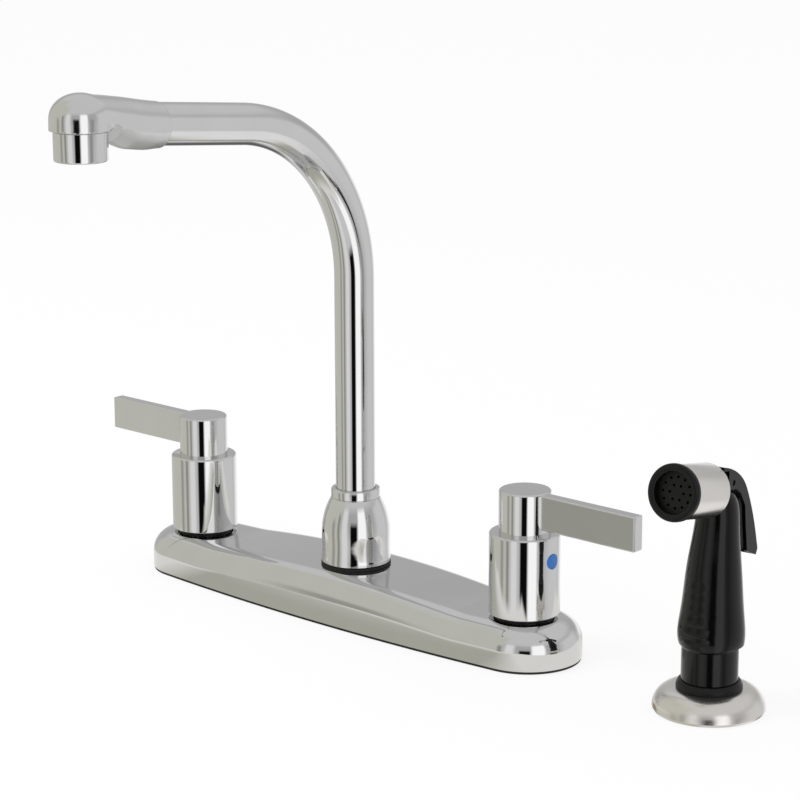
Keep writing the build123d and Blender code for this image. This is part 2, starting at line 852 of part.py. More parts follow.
grip_low = flange_height + holder_cup_height + seat_gap
grip_span = head_height - grip_step_height
pivot_height = head_height + pivot_rise
face_front = nozzle_front - nozzle_recess_depth
face_back = face_front - face_thickness
core_radius = ring_radius - ring_wall - thread_gap
trigger_width = lug_width + 2 * (seat_gap + trigger_wall)
plunger_head_back = chamber_back + seat_gap
spring_back = plunger_head_back + plunger_head_height


def grip():
    """The handle of the sprayer, lofted through round sections that lean back at the neck."""
    rings = [
        Pos(0, back, grip_step_height + share * grip_span) * Circle(radius)
        for share, radius, back in grip_sections
    ]
    handle = loft(rings)
    handle += loft([Pos(0, 0, grip_step_height) * Circle(grip_sleeve_radius), rings[0]])
    handle += rod(grip_sleeve_radius, grip_low, grip_step_height)
    return handle - finger_scallops()


def finger_scallops():
    """Shallow grooves across the front of the handle."""
    scallops = []
    scallop = Rot(0, quarter_turn, 0) * Cylinder(scallop_radius, scallop_length)
    for index in range(scallop_count):
        rise = scallop_rise + index * scallop_pitch
        centre = -grip_front_at(rise / grip_span) - scallop_radius + scallop_depth
        scallops.append(Pos(0, centre, grip_step_height + rise) * scallop)
    return scallops


def grip_front_at(share):
    """How far the handle reaches forward at a share of its height, between its sections."""
    fronts = [(place, radius - back) for place, radius, back in grip_sections]
    for (low, low_front), (high, high_front) in zip(fronts, fronts[1:]):
        if share <= high:
            return low_front + (high_front - low_front) * (share - low) / (high - low)
    return high_front


def plunger_end():
    """How far behind the head's centre the plunger's round end sits, a gap short of the thumb lever."""
    clearance = trigger_wall + plunger_radius + plunger_gap
    inside = Spline(*shifted(from_pivot(trigger_back_line), clearance))
    start = Vector(0, head_height)
    backward = Vector(cos(radians(head_tilt)), -sin(radians(head_tilt)))
    crossing = inside.find_intersection_points(Line(start, start + backward * head_height))[0]
    return (crossing - start).length


def sprayer_body():
    """The handle with the barrel of the head and the lug that carries the thumb lever."""
    barrel = rod(core_radius, ring_back, face_back)
    barrel += cone(barrel_back_radius, barrel_neck_radius, barrel_back, ring_back)
    lug_back = from_pivot(lug_back_line)
    lug_low = pivot_height - lug_drop
    lug = profile(((lug_back[0][0], lug_low), *lug_back, (lug_back[-1][0], lug_low)))
    body = grip() + on_head(barrel) + slab(lug, lug_width)
    body -= on_head(rod(chamber_radius, chamber_back, face_back))
    body -= on_head(rod(plunger_radius + running_gap, -2 * plunger_end(), chamber_back))
    body -= rod(grip_bore_radius, grip_low, head_height)
    body -= rod(grip_nut_socket_radius, grip_low, grip_low + grip_nut_socket_depth)
    return body - trigger_axle(pin_radius + thread_gap, lug_width)


def from_pivot(points):
    """The (y, z) places of points that are given from the thumb lever's pivot."""
    return [(pivot_y + back, pivot_height + up) for back, up in points]


def trigger_axle(radius, length):
    """A level cylinder across the lug at the thumb lever's pivot."""
    return Pos(0, pivot_y, pivot_height) * Rot(0, quarter_turn, 0) * Cylinder(radius, length)


def sprayer_ring():
    """The metal sleeve round the head."""
    return on_head(tube(ring_radius, ring_radius - ring_wall, ring_back, nozzle_front - nozzle_thickness))


def sprayer_nozzle():
    """The black front ring, with its spigot inside the metal sleeve and its recess."""
    low = nozzle_front - nozzle_thickness
    ring = rod(nozzle_radius, low, nozzle_front)
    ring = fillet(ring.edges().group_by(Axis.Z)[-1], nozzle_edge_radius)
    ring += rod(core_radius, face_front, low)
    return on_head(ring - rod(nozzle_recess_radius, face_front, nozzle_front))


def spray_face():
    """The perforated disc at the bottom of the recess, with the boss that the spring bears on."""
    boss_back = spring_back + spring_length + plunger_travel + seat_gap
    disc = rod(core_radius, face_back, face_front)
    disc += tube(face_boss_radius, spring_radius - spring_wall, boss_back, face_back)
    hole = rod(face_hole_radius, face_back, face_front)
    disc -= around(Pos(inner_hole_row, 0, 0) * hole, inner_hole_count)
    disc -= around(Pos(outer_hole_row, 0, 0) * hole, outer_hole_count)
    return on_head(disc)


def shifted(points, distance):
    """The points of an open line, each moved sideways by a distance."""
    padded = (points[0], *points, points[-1])
    moved = []
    for before, here, after in zip(padded, points, padded[2:]):
        along = (Vector(*after) - Vector(*before)).normalized()
        moved.append((here[0] + along.Y * distance, here[1] - along.X * distance))
    return moved


def sprayer_trigger():
    """The thumb lever: a channel that covers the back of the head and hangs down behind it."""
    back_line = from_pivot(trigger_back_line)
    front_line = from_pivot(trigger_front_line)
    underside = (back_line[0][0], back_line[0][1] - trigger_wall)
    outline = [
        Spline(*back_line),
        Polyline(back_line[-1], *front_line, underside, back_line[0]),
    ]
    lever_block = slab(make_face(Plane.YZ * (Curve() + outline)), trigger_width)
    inner_line = shifted(back_line, trigger_wall)
    (start_y, start_z), (end_y, end_z) = inner_line[0], inner_line[-1]
    hollow = [
        Spline(*inner_line),
        Polyline((end_y, end_z), (end_y, 0), (start_y, 0), (start_y, start_z)),
    ]
    channel = slab(make_face(Plane.YZ * (Curve() + hollow)), lug_width + 2 * seat_gap)
    return lever_block - channel - trigger_axle(pin_radius + running_gap, 2 * trigger_width)


def trigger_pin():
    return trigger_axle(pin_radius, trigger_width)


def sprayer_plunger():
    """The valve plunger, whose round end the thumb lever pushes towards the nozzle."""
    stalk = rod(plunger_radius, -plunger_end(), plunger_head_back)
    stalk += Pos(0, 0, -plunger_end()) * Sphere(plunger_radius)
    return on_head(stalk + rod(plunger_head_radius, plunger_head_back, spring_back))


def sprayer_spring():
    """The plunger's return spring, as the plain tube that its coils fill when it is pressed."""
    front = spring_back + spring_length
    return on_head(tube(spring_radius, spring_radius - spring_wall, spring_back, front))


def sprayer_hose_nut():
    """The nut at the foot of the sprayer, where its hose comes in."""
    top = grip_low + grip_nut_socket_depth
    low = grip_low - hose_nut_length
    nut = rod(grip_nut_socket_radius - thread_gap, grip_low, top)
    nut += rod(hose_nut_radius, low, grip_low)
    return nut - rod(hose_bore_radius, low, top)


# ---- Sprayer holder ----
def sprayer_flange():
    """The domed metal ring on the deck, hollow underneath."""
    wide = flange_radius - flange_top_radius
    tall = flange_height - flange_widest_height
    centre = (flange_top_radius, flange_widest_height)
    inner_radius = flange_radius - flange_wall
    inner_top = flange_height - flange_wall
    inner_start = (flange_top_radius, inner_top)
    bore = holder_tail_radius + hole_gap
    edges = [
        Line((flange_foot_radius, 0), (flange_radius, flange_widest_height)),
        quarter_ellipse(centre, wide, tall),
        Polyline((flange_top_radius, flange_height), (bore, flange_height), (bore, inner_top), inner_start),
        quarter_ellipse(centre, wide - flange_wall, tall - flange_wall),
        Polyline((inner_radius, flange_widest_height), (inner_radius, 0), (flange_foot_radius, 0)),
    ]
    return Pos(sprayer_x, 0, 0) * turned(edges)


def sprayer_holder():
    """The black cup that the sprayer stands in and its threaded tail."""
    low = flange_height
    rim_top = low + holder_rim_height
    high = low + holder_cup_height
    cup = rod(holder_rim_radius, low, rim_top)
    cup += cone(holder_rim_radius, holder_cup_radius, rim_top, high)
    cup += rod(holder_tail_radius, low - holder_tail_length, low)
    return Pos(sprayer_x, 0, 0) * (cup - rod(holder_bore_radius, low - holder_tail_length, high))


def holder_nut():
    """The plastic wing nut under the deck."""
    high = -deck_space
    low = high - holder_nut_height
    hub_radius_outside = holder_tail_radius + holder_nut_hub_wall
    wing_length = holder_nut_radius - holder_tail_radius - thread_gap
    wing = Box(wing_length, holder_wing_thickness, holder_nut_height)
    wing = Pos(holder_nut_radius - wing_length / 2, 0, (low + high) / 2) * wing
    nut = rod(hub_radius_outside, low, high) + around(wing, holder_wing_count)
    return Pos(sprayer_x, 0, 0) * (nut - rod(holder_tail_radius + thread_gap, low, high))


def all_parts():
    parts = {
        "deck_plate": deck_plate(),
        "deck_gasket": deck_gasket(),
        "waterway": waterway(),
        "sprayer_hose_nipple": sprayer_hose_nipple(),
        "shank_washers": both_valves(shank_washer()),
        "shank_nuts": both_valves(shank_nut()),
        "plate_lock_nuts": both_valves(lock_nut()),
        "valve_seats": both_valves(valve_seat()),
        "fixed_discs": both_valves(fixed_disc()),
        "cartridge_nuts": both_valves(cartridge_nut()),
        "spout_bell": spout_bell(),
        "spout_seal_ring": spout_seal_ring(),
        "spout_tube": spout_tube(),
        "spout_foot": spout_foot(),
        "spout_o_rings": spout_o_rings(),
        "spout_head": spout_head(),
        "aerator_housing": aerator_housing(),
        "aerator_insert": aerator_insert(),
        "aerator_washer": aerator_washer(),
        "diverter_seat": diverter_seat(),
        "diverter_piston": diverter_piston(),
        "sprayer_body": placed(sprayer_body()),
        "sprayer_ring": placed(sprayer_ring()),
        "sprayer_nozzle": placed(sprayer_nozzle()),
        "spray_face": placed(spray_face()),
        "sprayer_trigger": placed(sprayer_trigger()),
        "trigger_pin": placed(trigger_pin()),
        "sprayer_plunger": placed(sprayer_plunger()),
        "sprayer_spring": placed(sprayer_spring()),
        "sprayer_hose_nut": placed(sprayer_hose_nut()),
        "sprayer_flange": sprayer_flange(),
        "sprayer_holder": sprayer_holder(),
        "holder_nut": holder_nut(),
    }
    for name in valve_names:
        side = side_of(name)
        parts[f"{name}_shank"] = at_handle(shank(), side)
        parts[f"{name}_cartridge"] = at_handle(cartridge(), side)
        parts[f"{name}_moving_disc"] = at_handle(moving_disc(), side)
        parts[f"{name}_stem"] = at_handle(stem(), side)
        parts[f"{name}_handle_body"] = at_handle(handle_body(side), side)
        parts[f"{name}_lever"] = at_handle(lever(side), side)
        parts[f"{name}_lever_screw"] = at_handle(lever_screw(), side)
        parts[f"{name}_set_screw"] = at_handle(set_screw(side), side)
        parts[f"{name}_index_button"] = at_handle(index_button(side), side)
    return parts


if __name__ == "__main__":
    os.makedirs("parts", exist_ok=True)
    for name, shape in all_parts().items():
        export_step(shape, f"parts/{name}.step")
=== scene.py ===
import json
import math

import bmesh
import bpy
from mathutils import Matrix, Vector


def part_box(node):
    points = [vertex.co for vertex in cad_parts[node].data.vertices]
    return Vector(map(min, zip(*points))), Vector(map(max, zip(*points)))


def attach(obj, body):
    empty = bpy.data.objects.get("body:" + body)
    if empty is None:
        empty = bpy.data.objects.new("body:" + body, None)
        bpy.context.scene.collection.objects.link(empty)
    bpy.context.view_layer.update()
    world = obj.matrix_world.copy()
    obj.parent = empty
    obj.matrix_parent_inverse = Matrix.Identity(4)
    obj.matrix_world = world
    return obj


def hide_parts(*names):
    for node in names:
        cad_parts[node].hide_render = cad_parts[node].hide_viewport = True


bl_info = {
    "name": "Kitchen faucet with side sprayer",
    "version": (1, 0, 0),
    "blender": (4, 5, 0),
    "location": "View3D > Sidebar > Faucet",
    "description": "Builds the chrome faucet, its black side sprayer and the studio round them",
    "category": "Object",
}

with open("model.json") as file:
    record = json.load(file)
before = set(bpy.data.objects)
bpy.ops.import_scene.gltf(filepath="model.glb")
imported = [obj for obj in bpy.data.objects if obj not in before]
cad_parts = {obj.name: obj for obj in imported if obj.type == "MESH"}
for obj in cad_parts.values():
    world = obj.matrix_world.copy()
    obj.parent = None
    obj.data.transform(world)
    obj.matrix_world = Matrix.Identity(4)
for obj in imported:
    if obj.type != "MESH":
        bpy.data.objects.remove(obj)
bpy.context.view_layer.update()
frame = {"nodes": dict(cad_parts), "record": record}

MM = 0.001

# The two handles, and on which side of X each one stands
SIDES = (("hot", -1), ("cold", 1))

# Places in mm and turns in degrees, from the spout's axis on the sink deck
HANDLE_X = 101.6
OUTLET_RIM_HEIGHT = 241.0
SPRAYER_X = 201.7
SPRAYER_TURN = 5
SPRAYER_HEAD_HEIGHT = 94.9
SPRAYER_HEAD_TILT = 10.2

# Steps of a full turn: on most pieces, and on the spout's head before it is cast in one
ROUND_STEPS = 96
HEAD_STEPS = 64

# Two faces that meet at more than this show an edge
SHARP_ANGLE = math.radians(32)
QUARTER_TURN = math.radians(90)

# Corners nearer to each other than this, in metres, are one
NEAR = 1e-6


# ---- Colours and materials ----
PLATE_FLECK = "#d6d6d6"


def linear(hex_colour):
    """An sRGB hex colour as linear red, green, blue and alpha."""
    channels = [int(hex_colour[i : i + 2], 16) / 255 for i in (1, 3, 5)]
    curve = [c / 12.92 if c <= 0.04045 else ((c + 0.055) / 1.055) ** 2.4 for c in channels]
    return (*curve, 1.0)


def grey(level):
    """A grey of this linear level, as red, green, blue and alpha."""
    return (level, level, level, 1.0)


def add_node(tree, kind, inputs=None, **settings):
    """Adds a node, sets its settings, and sets or links its inputs by name or number."""
    node = tree.nodes.new(kind)
    for name, value in settings.items():
        setattr(node, name, value)
    for name, value in (inputs or {}).items():
        if isinstance(value, bpy.types.NodeSocket):
            tree.links.new(value, node.inputs[name])
        else:
            node.inputs[name].default_value = value
    return node


def per_mm(size):
    """The scale that makes one repeat of a pattern this many millimetres long."""
    return 1 / (size * MM)


def surface(
    name, colours, roughness, grain, bump, metallic=0.0, stretch=(1, 1, 1), dull_below=None, **sockets
):
    """A material with a fine grain of that size in mm, that varies its gloss and height.

    It wanders from the first colour to the second in patches of 14 mm. roughness is the least and the
    most, bump the height of the grain in mm, and stretch draws the grain out along an axis, as turning
    does. dull_below is the roughness of faces that look down.
    """
    patch = 14.0
    material = bpy.data.materials.new(name)
    material.use_nodes = True
    tree = material.node_tree
    shader = tree.nodes["Principled BSDF"]
    place = add_node(tree, "ShaderNodeTexCoord").outputs["Object"]
    scale = [per_mm(grain) / s for s in stretch]
    drawn = add_node(tree, "ShaderNodeMapping", {"Vector": place, "Scale": scale}).outputs["Vector"]
    fine = add_node(tree, "ShaderNodeTexNoise", {"Vector": drawn, "Scale": 1.0, "Detail": 3.0}).outputs["Fac"]
    broad = add_node(
        tree, "ShaderNodeTexNoise", {"Vector": place, "Scale": per_mm(patch), "Detail": 2.0}
    ).outputs["Fac"]
    # nearly all of the noise lies between 0.3 and 0.7
    gloss = add_node(
        tree,
        "ShaderNodeMapRange",
        {"Value": fine, "From Min": 0.3, "From Max": 0.7, "To Min": roughness[0], "To Max": roughness[1]},
    ).outputs["Result"]
    if dull_below:
        # it sets in on faces that lean over a little, and is full on those that plainly look down
        facing = add_node(tree, "ShaderNodeNewGeometry").outputs["Normal"]
        upward = add_node(tree, "ShaderNodeSeparateXYZ", {"Vector": facing}).outputs["Z"]
        gloss = add_node(
            tree,
            "ShaderNodeMapRange",
            {"Value": upward, "From Min": -0.1, "From Max": -0.4, "To Min": gloss, "To Max": dull_below},
        ).outputs["Result"]
    base, fleck = (linear(colour) for colour in colours)
    tint = add_node(tree, "ShaderNodeMix", {"Factor": broad, "A": base, "B": fleck}, data_type="RGBA")
    normal = add_node(tree, "ShaderNodeBump", {"Height": fine, "Strength": 1.0, "Distance": bump * MM})
    shader.inputs["Metallic"].default_value = metallic
    for socket, value in sockets.items():
        shader.inputs[socket.replace("_", " ")].default_value = value
    tree.links.new(gloss, shader.inputs["Roughness"])
    tree.links.new(tint.outputs["Result"], shader.inputs["Base Color"])
    tree.links.new(normal.outputs["Normal"], shader.inputs["Normal"])
    return material


def finish():
    """The colours that a user can change."""
    return bpy.context.scene.faucet_finish


def chrome_plate():
    """Bright nickel-chrome plate on polished brass."""
    # a cold mirror, with only a trace of buffing left
    colours = (finish().chrome, PLATE_FLECK)
    return surface("chrome plate", colours, roughness=(0.02, 0.05), grain=0.6, bump=0.00004, metallic=1.0)


def chrome_on_cast_zinc():
    """The same plate on die-cast zinc, buffed by hand."""
    # softer reflections, and dull underneath, where the buffing wheel doesn't reach
    return surface(
        "chrome plate on cast zinc",
        (finish().chrome, PLATE_FLECK),
        roughness=(0.08, 0.11),
        grain=3.0,
        bump=0.0002,
        metallic=1.0,
        dull_below=0.4,
    )


def satin_nickel_plate():
    """Finely brushed nickel plate."""
    # highlights blur to soft warm grey bands
    return surface(
        "satin nickel plate",
        (finish().satin, "#e6e2dd"),
        roughness=(0.2, 0.27),
        grain=1.2,
        bump=0.00003,
        metallic=1.0,
    )


def turned_brass():
    """Brass bar, turned and left bare."""
    # warm yellow with fine tool marks round the axis
    return surface(
        "turned brass",
        ("#b8904e", "#c9a562"),
        roughness=(0.25, 0.4),
        grain=0.5,
        bump=0.002,
        metallic=1.0,
        stretch=(6, 6, 1),
    )


def zinc_plated_steel():
    """Steel with a bright zinc plate."""
    # grey and a little blue
    colours = ("#a9adb1", "#bfc3c6")
    return surface("zinc plated steel", colours, roughness=(0.25, 0.42), grain=0.6, bump=0.002, metallic=1.0)


def polished_abs():
    """ABS moulded in a polished tool."""
    # black and glossy, with a faint orange peel
    return surface(
        "polished black abs",
        (finish().sprayer, "#0b0b0b"),
        roughness=(0.1, 0.16),
        grain=1.6,
        bump=0.0003,
        Specular_IOR_Level=0.3,
    )


def moulded_polypropylene():
    """Polypropylene moulded in an etched tool."""
    # black with an even matte grain
    return surface(
        "moulded black pp",
        ("#060606", "#0c0c0c"),
        roughness=(0.35, 0.5),
        grain=0.5,
        bump=0.002,
        Specular_IOR_Level=0.3,
    )


def nitrile_rubber():
    """Moulded nitrile rubber."""
    # black and almost without gloss
    return surface("nitrile rubber", ("#0d0d0d", "#161616"), roughness=(0.55, 0.7), grain=0.7, bump=0.004)


def lapped_alumina():
    """Fired alumina ceramic, lapped flat."""
    # off-white, dense and smooth
    return surface("lapped alumina", ("#e9e6dd", "#f0eee8"), roughness=(0.12, 0.2), grain=0.4, bump=0.0004)


def moulded_acetal():
    """Moulded acetal."""
    # milky white with a soft gloss
    return surface("moulded acetal", ("#e4e3dd", "#eceae5"), roughness=(0.3, 0.42), grain=0.6, bump=0.002)


def blue_acrylic():
    """The cold side's button, of dyed acrylic."""
    # clear colour under a gloss
    colours = (finish().cold_mark, "#2f7fd0")
    return surface("blue acrylic", colours, roughness=(0.12, 0.2), grain=0.8, bump=0.0005)


def red_acrylic():
    """The hot side's button, of dyed acrylic."""
    # clear colour under a gloss
    colours = (finish().hot_mark, "#c83a30")
    return surface("red acrylic", colours, roughness=(0.12, 0.2), grain=0.8, bump=0.0005)


# What makes the material of each slot in the record, and of the cast head
MAKERS = {
    "chrome": chrome_plate,
    "cast_chrome": chrome_on_cast_zinc,
    "satin": satin_nickel_plate,
    "brass": turned_brass,
    "steel": zinc_plated_steel,
    "black_gloss": polished_abs,
    "black_plastic": moulded_polypropylene,
    "seal": nitrile_rubber,
    "ceramic": lapped_alumina,
    "white_plastic": moulded_acetal,
    "blue": blue_acrylic,
    "red": red_acrylic,
}
materials = {}


def material_for(slot):
    """The material of this name, made when it is first asked for."""
    if slot not in materials:
        materials[slot] = MAKERS[slot]()
    return materials[slot]


# ---- Mesh helpers ----
def verts_of(geometry):
    """The corners among what a bmesh operator gives back."""
    return [part for part in geometry if isinstance(part, bmesh.types.BMVert)]


def edges_of(geometry):
    """The edges among what a bmesh operator gives back."""
    return [part for part in geometry if isinstance(part, bmesh.types.BMEdge)]


def level_with(parts, height):
    """The edges or faces whose corners all lie at this height."""
    return [part for part in parts if all(abs(vert.co.z - height) < NEAR for vert in part.verts)]


def flowing(points, steps=5):
    """A smooth line through the points, with that many steps between each two of them."""
    last = len(points) - 1
    line = []
    for index in range(last):
        nearest = [points[min(max(index + offset, 0), last)] for offset in (-1, 0, 1, 2)]
        for step in range(steps):
            t = step / steps
            weights = (-t + 2 * t**2 - t**3, 2 - 5 * t**2 + 3 * t**3, t + 4 * t**2 - 3 * t**3, t**3 - t**2)
            shares = [weight / 2 for weight in weights]
            line.append(tuple(sum(s * point[axis] for s, point in zip(shares, nearest)) for axis in (0, 1)))
    return line + [points[-1]]


def quarter_round(centre, across, up, steps, falling=False):
    """Points of a quarter ellipse from beside its centre to above it, or falling the other way."""
    points = []
    for step in range(1, steps + 1):
        share = 1 - step / steps if falling else step / steps
        angle = QUARTER_TURN * share
        points.append((centre[0] + across * math.cos(angle), centre[1] + up * math.sin(angle)))
    return points


def ring_edges(bm, radius, height, centre=(0, 0)):
    """The edges of a turned mesh that lie on the circle of this radius and height."""
    def on_ring(vert):
        reach = math.hypot(vert.co.x - centre[0], vert.co.y - centre[1])
        return abs(reach - radius) < NEAR and abs(vert.co.z - height) < NEAR

    return [edge for edge in bm.edges if all(on_ring(vert) for vert in edge.verts)]


def turned(profile, centre=(0, 0), closed=False, rounds=(), steps=ROUND_STEPS):
    """A bmesh turned about an upright axis from (radius, height) points in mm.

    rounds are (radius, height, size) of the ring edges that get a round of that size.
    """
    bm = bmesh.new()
    points = [bm.verts.new((centre[0] + r * MM, centre[1], z * MM)) for r, z in profile]
    pairs = list(zip(points, points[1:])) + ([(points[-1], points[0])] if closed else [])
    edges = [bm.edges.new(pair) for pair in pairs]
    bmesh.ops.spin(
        bm,
        geom=points + edges,
        cent=(centre[0], centre[1], 0),
        axis=(0, 0, 1),
        angle=2 * math.pi,
        steps=steps,
        use_merge=True,
    )
    bmesh.ops.remove_doubles(bm, verts=bm.verts, dist=NEAR)
    bmesh.ops.recalc_face_normals(bm, faces=bm.faces)
    for radius, height, size in rounds:
        bmesh.ops.bevel(
            bm,
            geom=ring_edges(bm, radius * MM, height * MM, centre),
            offset=size * MM,
            segments=5,
            profile=0.5,
            affect="EDGES",
            material=-1,
            clamp_overlap=True,
        )
    return bm


def circle(bm, radius, place, segments=ROUND_STEPS):
    """The edges of a new circle laid by a matrix."""
    made = bmesh.ops.create_circle(bm, cap_ends=False, segments=segments, radius=radius, matrix=place)
    return list({edge for vert in made["verts"] for edge in vert.link_edges})


def carry(bm, edges, move):
    """Extrudes a loop of edges by a vector and returns the far loop."""
    made = bmesh.ops.extrude_edge_only(bm, edges=edges)["geom"]
    bmesh.ops.translate(bm, verts=verts_of(made), vec=move)
    return edges_of(made)


def lip(bm, edges, centre, share):
    """Turns the open end of a tube inward by a flat ring, to a share of its radius."""
    made = bmesh.ops.extrude_edge_only(bm, edges=edges)["geom"]
    middle = Matrix.Translation(-Vector(centre))
    bmesh.ops.scale(bm, vec=(share, share, share), space=middle, verts=verts_of(made))


def bridged(bm, loops):
    """Bridges each loop of edges to the next one."""
    for near, far in zip(loops, loops[1:]):
        bmesh.ops.bridge_loops(bm, edges=near + far)


def merged_copy(node):
    """A bmesh of a CAD node with its loose triangles joined up."""
    bm = bmesh.new()
    bm.from_mesh(frame["nodes"][node].data)
    bmesh.ops.remove_doubles(bm, verts=bm.verts, dist=NEAR)
    return bm


def make_object(name, bm):
    """An object in the scene from a bmesh, which it uses up."""
    mesh = bpy.data.meshes.new(name)
    bm.to_mesh(mesh)
    bm.free()
    made = bpy.data.objects.new(name, mesh)
    bpy.context.scene.collection.objects.link(made)
    return made


def make_piece(name, bm, body, slot, replaces, material=None, sharp=SHARP_ANGLE, flat=False):
    """Turns a bmesh into a smooth-shaded piece that rides on a body and stands for CAD nodes.

    Its material is its slot's unless another is named. flat says that it has large flat faces,
    which then keep an even shade up to their rounds.
    """
    for face in bm.faces:
        face.smooth = True
    for edge in bm.edges:
        edge.smooth = edge.calc_face_angle(0.0) < sharp
    piece = make_object(name, bm)
    piece.data.materials.append(material_for(material or slot))
    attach(piece, body)
    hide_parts(*replaces)
    if flat:
        piece.modifiers.new("even shade", "WEIGHTED_NORMAL").keep_sharp = True


# ---- What a user can change ----
def length_property(label, words, size):
    """A length with its default in mm."""
    return bpy.props.FloatProperty(
        name=label, description=words, default=size * MM, min=0.0, unit="LENGTH", subtype="DISTANCE"
    )


def colour_property(label, words, colour):
    """A colour as an sRGB hex value."""
    return bpy.props.StringProperty(name=label, description=words, default=colour)


class FaucetSizes(bpy.types.PropertyGroup):
    """Outer sizes of the pieces that are modelled here over the solids."""

    plate_edge: length_property("Plate edge", "Radius of the round along the plate's upper edge", 11.0)
    plate_crown: length_property("Plate crown", "How far the middle of the plate rises above its ends", 3.4)
    bell_swell: length_property("Bell swell", "Largest radius of the spout's bell nut", 15.95)
    spout_bend: length_property("Spout bend", "Radius of the gooseneck's centre line", 77.2)
    handle_edge: length_property("Handle edge", "Size of the round on top of the handle's cup", 1.0)


class FaucetFinish(bpy.types.PropertyGroup):
    """Colours of the finishes, as sRGB hex values."""

    chrome: colour_property("Chrome", "Colour of the bright plate", "#dcdcdc")
    satin: colour_property("Satin plate", "Colour of the satin plate", "#dedcd8")
    sprayer: colour_property("Sprayer", "Colour of the sprayer's body", "#060606")
    cold_mark: colour_property("Cold mark", "Colour of the cold button", "#1c63b8")
    hot_mark: colour_property("Hot mark", "Colour of the hot button", "#b02a22")


# ---- Pieces ----
class FAUCET_OT_inner_parts(bpy.types.Operator):
    """Gives every solid the material of what it is made of, for those that stay as they are"""

    bl_idname = "faucet.inner_parts"
    bl_label = "Inner parts"

    def execute(self, context):
        for part in frame["record"]["subparts"]:
            mesh = frame["nodes"][part["node"]].data
            mesh.materials.clear()
            mesh.materials.append(material_for(part["material_slot"]))
        return {"FINISHED"}


class FAUCET_OT_deck_plate(bpy.types.Operator):
    """Models the chrome deck plate: bowed in plan, crowned along its length, round-edged"""

    bl_idname = "faucet.deck_plate"
    bl_label = "Deck plate"

    def execute(self, context):
        sizes = context.scene.faucet_sizes
        low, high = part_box("deck_plate")
        end_height = high.z - sizes.plate_crown
        bm = bmesh.new()
        self.draw_plan(bm, high.x, high.y, low.z)
        self.raise_walls(bm, low.z, end_height, sizes.plate_edge)
        self.cut_top(bm, end_height)
        # all that lies above the walls follows the crown
        edge_start = end_height - sizes.plate_edge - NEAR
        for vert in bm.verts:
            if vert.co.z > edge_start:
                vert.co.z += self.crown_rise(vert.co.x, sizes.plate_crown)
        sharp = math.radians(60)
        make_piece("chrome_deck_plate", bm, "deck_unit", "chrome", ["deck_plate"], sharp=sharp, flat=True)
        return {"FINISHED"}

    def draw_plan(self, bm, half_length, half_width, floor):
        """Draws the plate's outline as one face: two bowed sides that run into two round ends."""
        end_radius = 24.7 * MM
        end_x = half_length - end_radius
        bow_radius = (end_x**2 + half_width**2 - end_radius**2) / (2 * (half_width - end_radius))
        touch_angle = math.atan2(end_x, bow_radius - half_width)
        touch = (end_x + end_radius * math.sin(touch_angle), end_radius * math.cos(touch_angle), floor)
        side = bmesh.ops.spin(
            bm,
            geom=[bm.verts.new(touch)],
            cent=(0, half_width - bow_radius, 0),
            axis=(0, 0, 1),
            angle=2 * touch_angle,
            steps=120,
        )["geom_last"]
        bmesh.ops.spin(
            bm,
            geom=verts_of(side),
            cent=(-end_x, 0, 0),
            axis=(0, 0, 1),
            angle=math.pi - 2 * touch_angle,
            steps=48,
        )
        half = bm.verts[:] + bm.edges[:]
        bmesh.ops.duplicate(bm, geom=half)
        copied = [vert for vert in bm.verts if vert not in set(half)]
        bmesh.ops.rotate(bm, verts=copied, cent=(0, 0, 0), matrix=Matrix.Rotation(math.pi, 3, "Z"))
        bmesh.ops.remove_doubles(bm, verts=bm.verts, dist=NEAR)
        bmesh.ops.contextual_create(bm, geom=bm.edges[:])
        bmesh.ops.recalc_face_normals(bm, faces=bm.faces)

    def raise_walls(self, bm, floor, height, edge_radius):
        """Raises the outline to a lid on walls, open below, and rounds the lid's edge."""
        lid = bmesh.ops.extrude_face_region(bm, geom=bm.faces[:])["geom"]
        bmesh.ops.translate(bm, verts=verts_of(lid), vec=(0, 0, height - floor))
        bmesh.ops.delete(bm, geom=level_with(bm.faces, floor), context="FACES_ONLY")
        bmesh.ops.recalc_face_normals(bm, faces=bm.faces)
        bmesh.ops.bevel(
            bm,
            geom=level_with(bm.edges, height),
            offset=edge_radius,
            segments=20,
            profile=0.5,
            affect="EDGES",
            material=-1,
        )

    def cut_top(self, bm, height):
        """Cuts the flat top across at the corners of its outline, so that it can follow the crown."""
        cut_reach = 90 * MM
        (top,) = level_with(bm.faces, height)
        for x in sorted({round(vert.co.x, 6) for vert in top.verts if abs(vert.co.x) < cut_reach}):
            faces = level_with(bm.faces, height)
            edges = list({edge for face in faces for edge in face.edges})
            verts = list({vert for face in faces for vert in face.verts})
            bmesh.ops.bisect_plane(
                bm, geom=verts + edges + faces, dist=2 * NEAR, plane_co=(x, 0, 0), plane_no=(1, 0, 0)
            )

    def crown_rise(self, x, crown):
        """How far the plate's top rises above its ends at a distance along it.

        The crown is an arc over the middle, which two opposite arcs blend into the flat ends.
        """
        flat_start = 84.0 * MM
        blend_radius = 120.0 * MM
        angle = 2 * math.atan(crown / flat_start)
        radius = flat_start / math.sin(angle) - blend_radius
        blend_x = radius * math.sin(angle)
        reach = abs(x)
        if reach <= blend_x:
            return crown - radius + math.sqrt(radius**2 - reach**2)
        if reach >= flat_start:
            return 0.0
        return blend_radius - math.sqrt(blend_radius**2 - (flat_start - reach) ** 2)


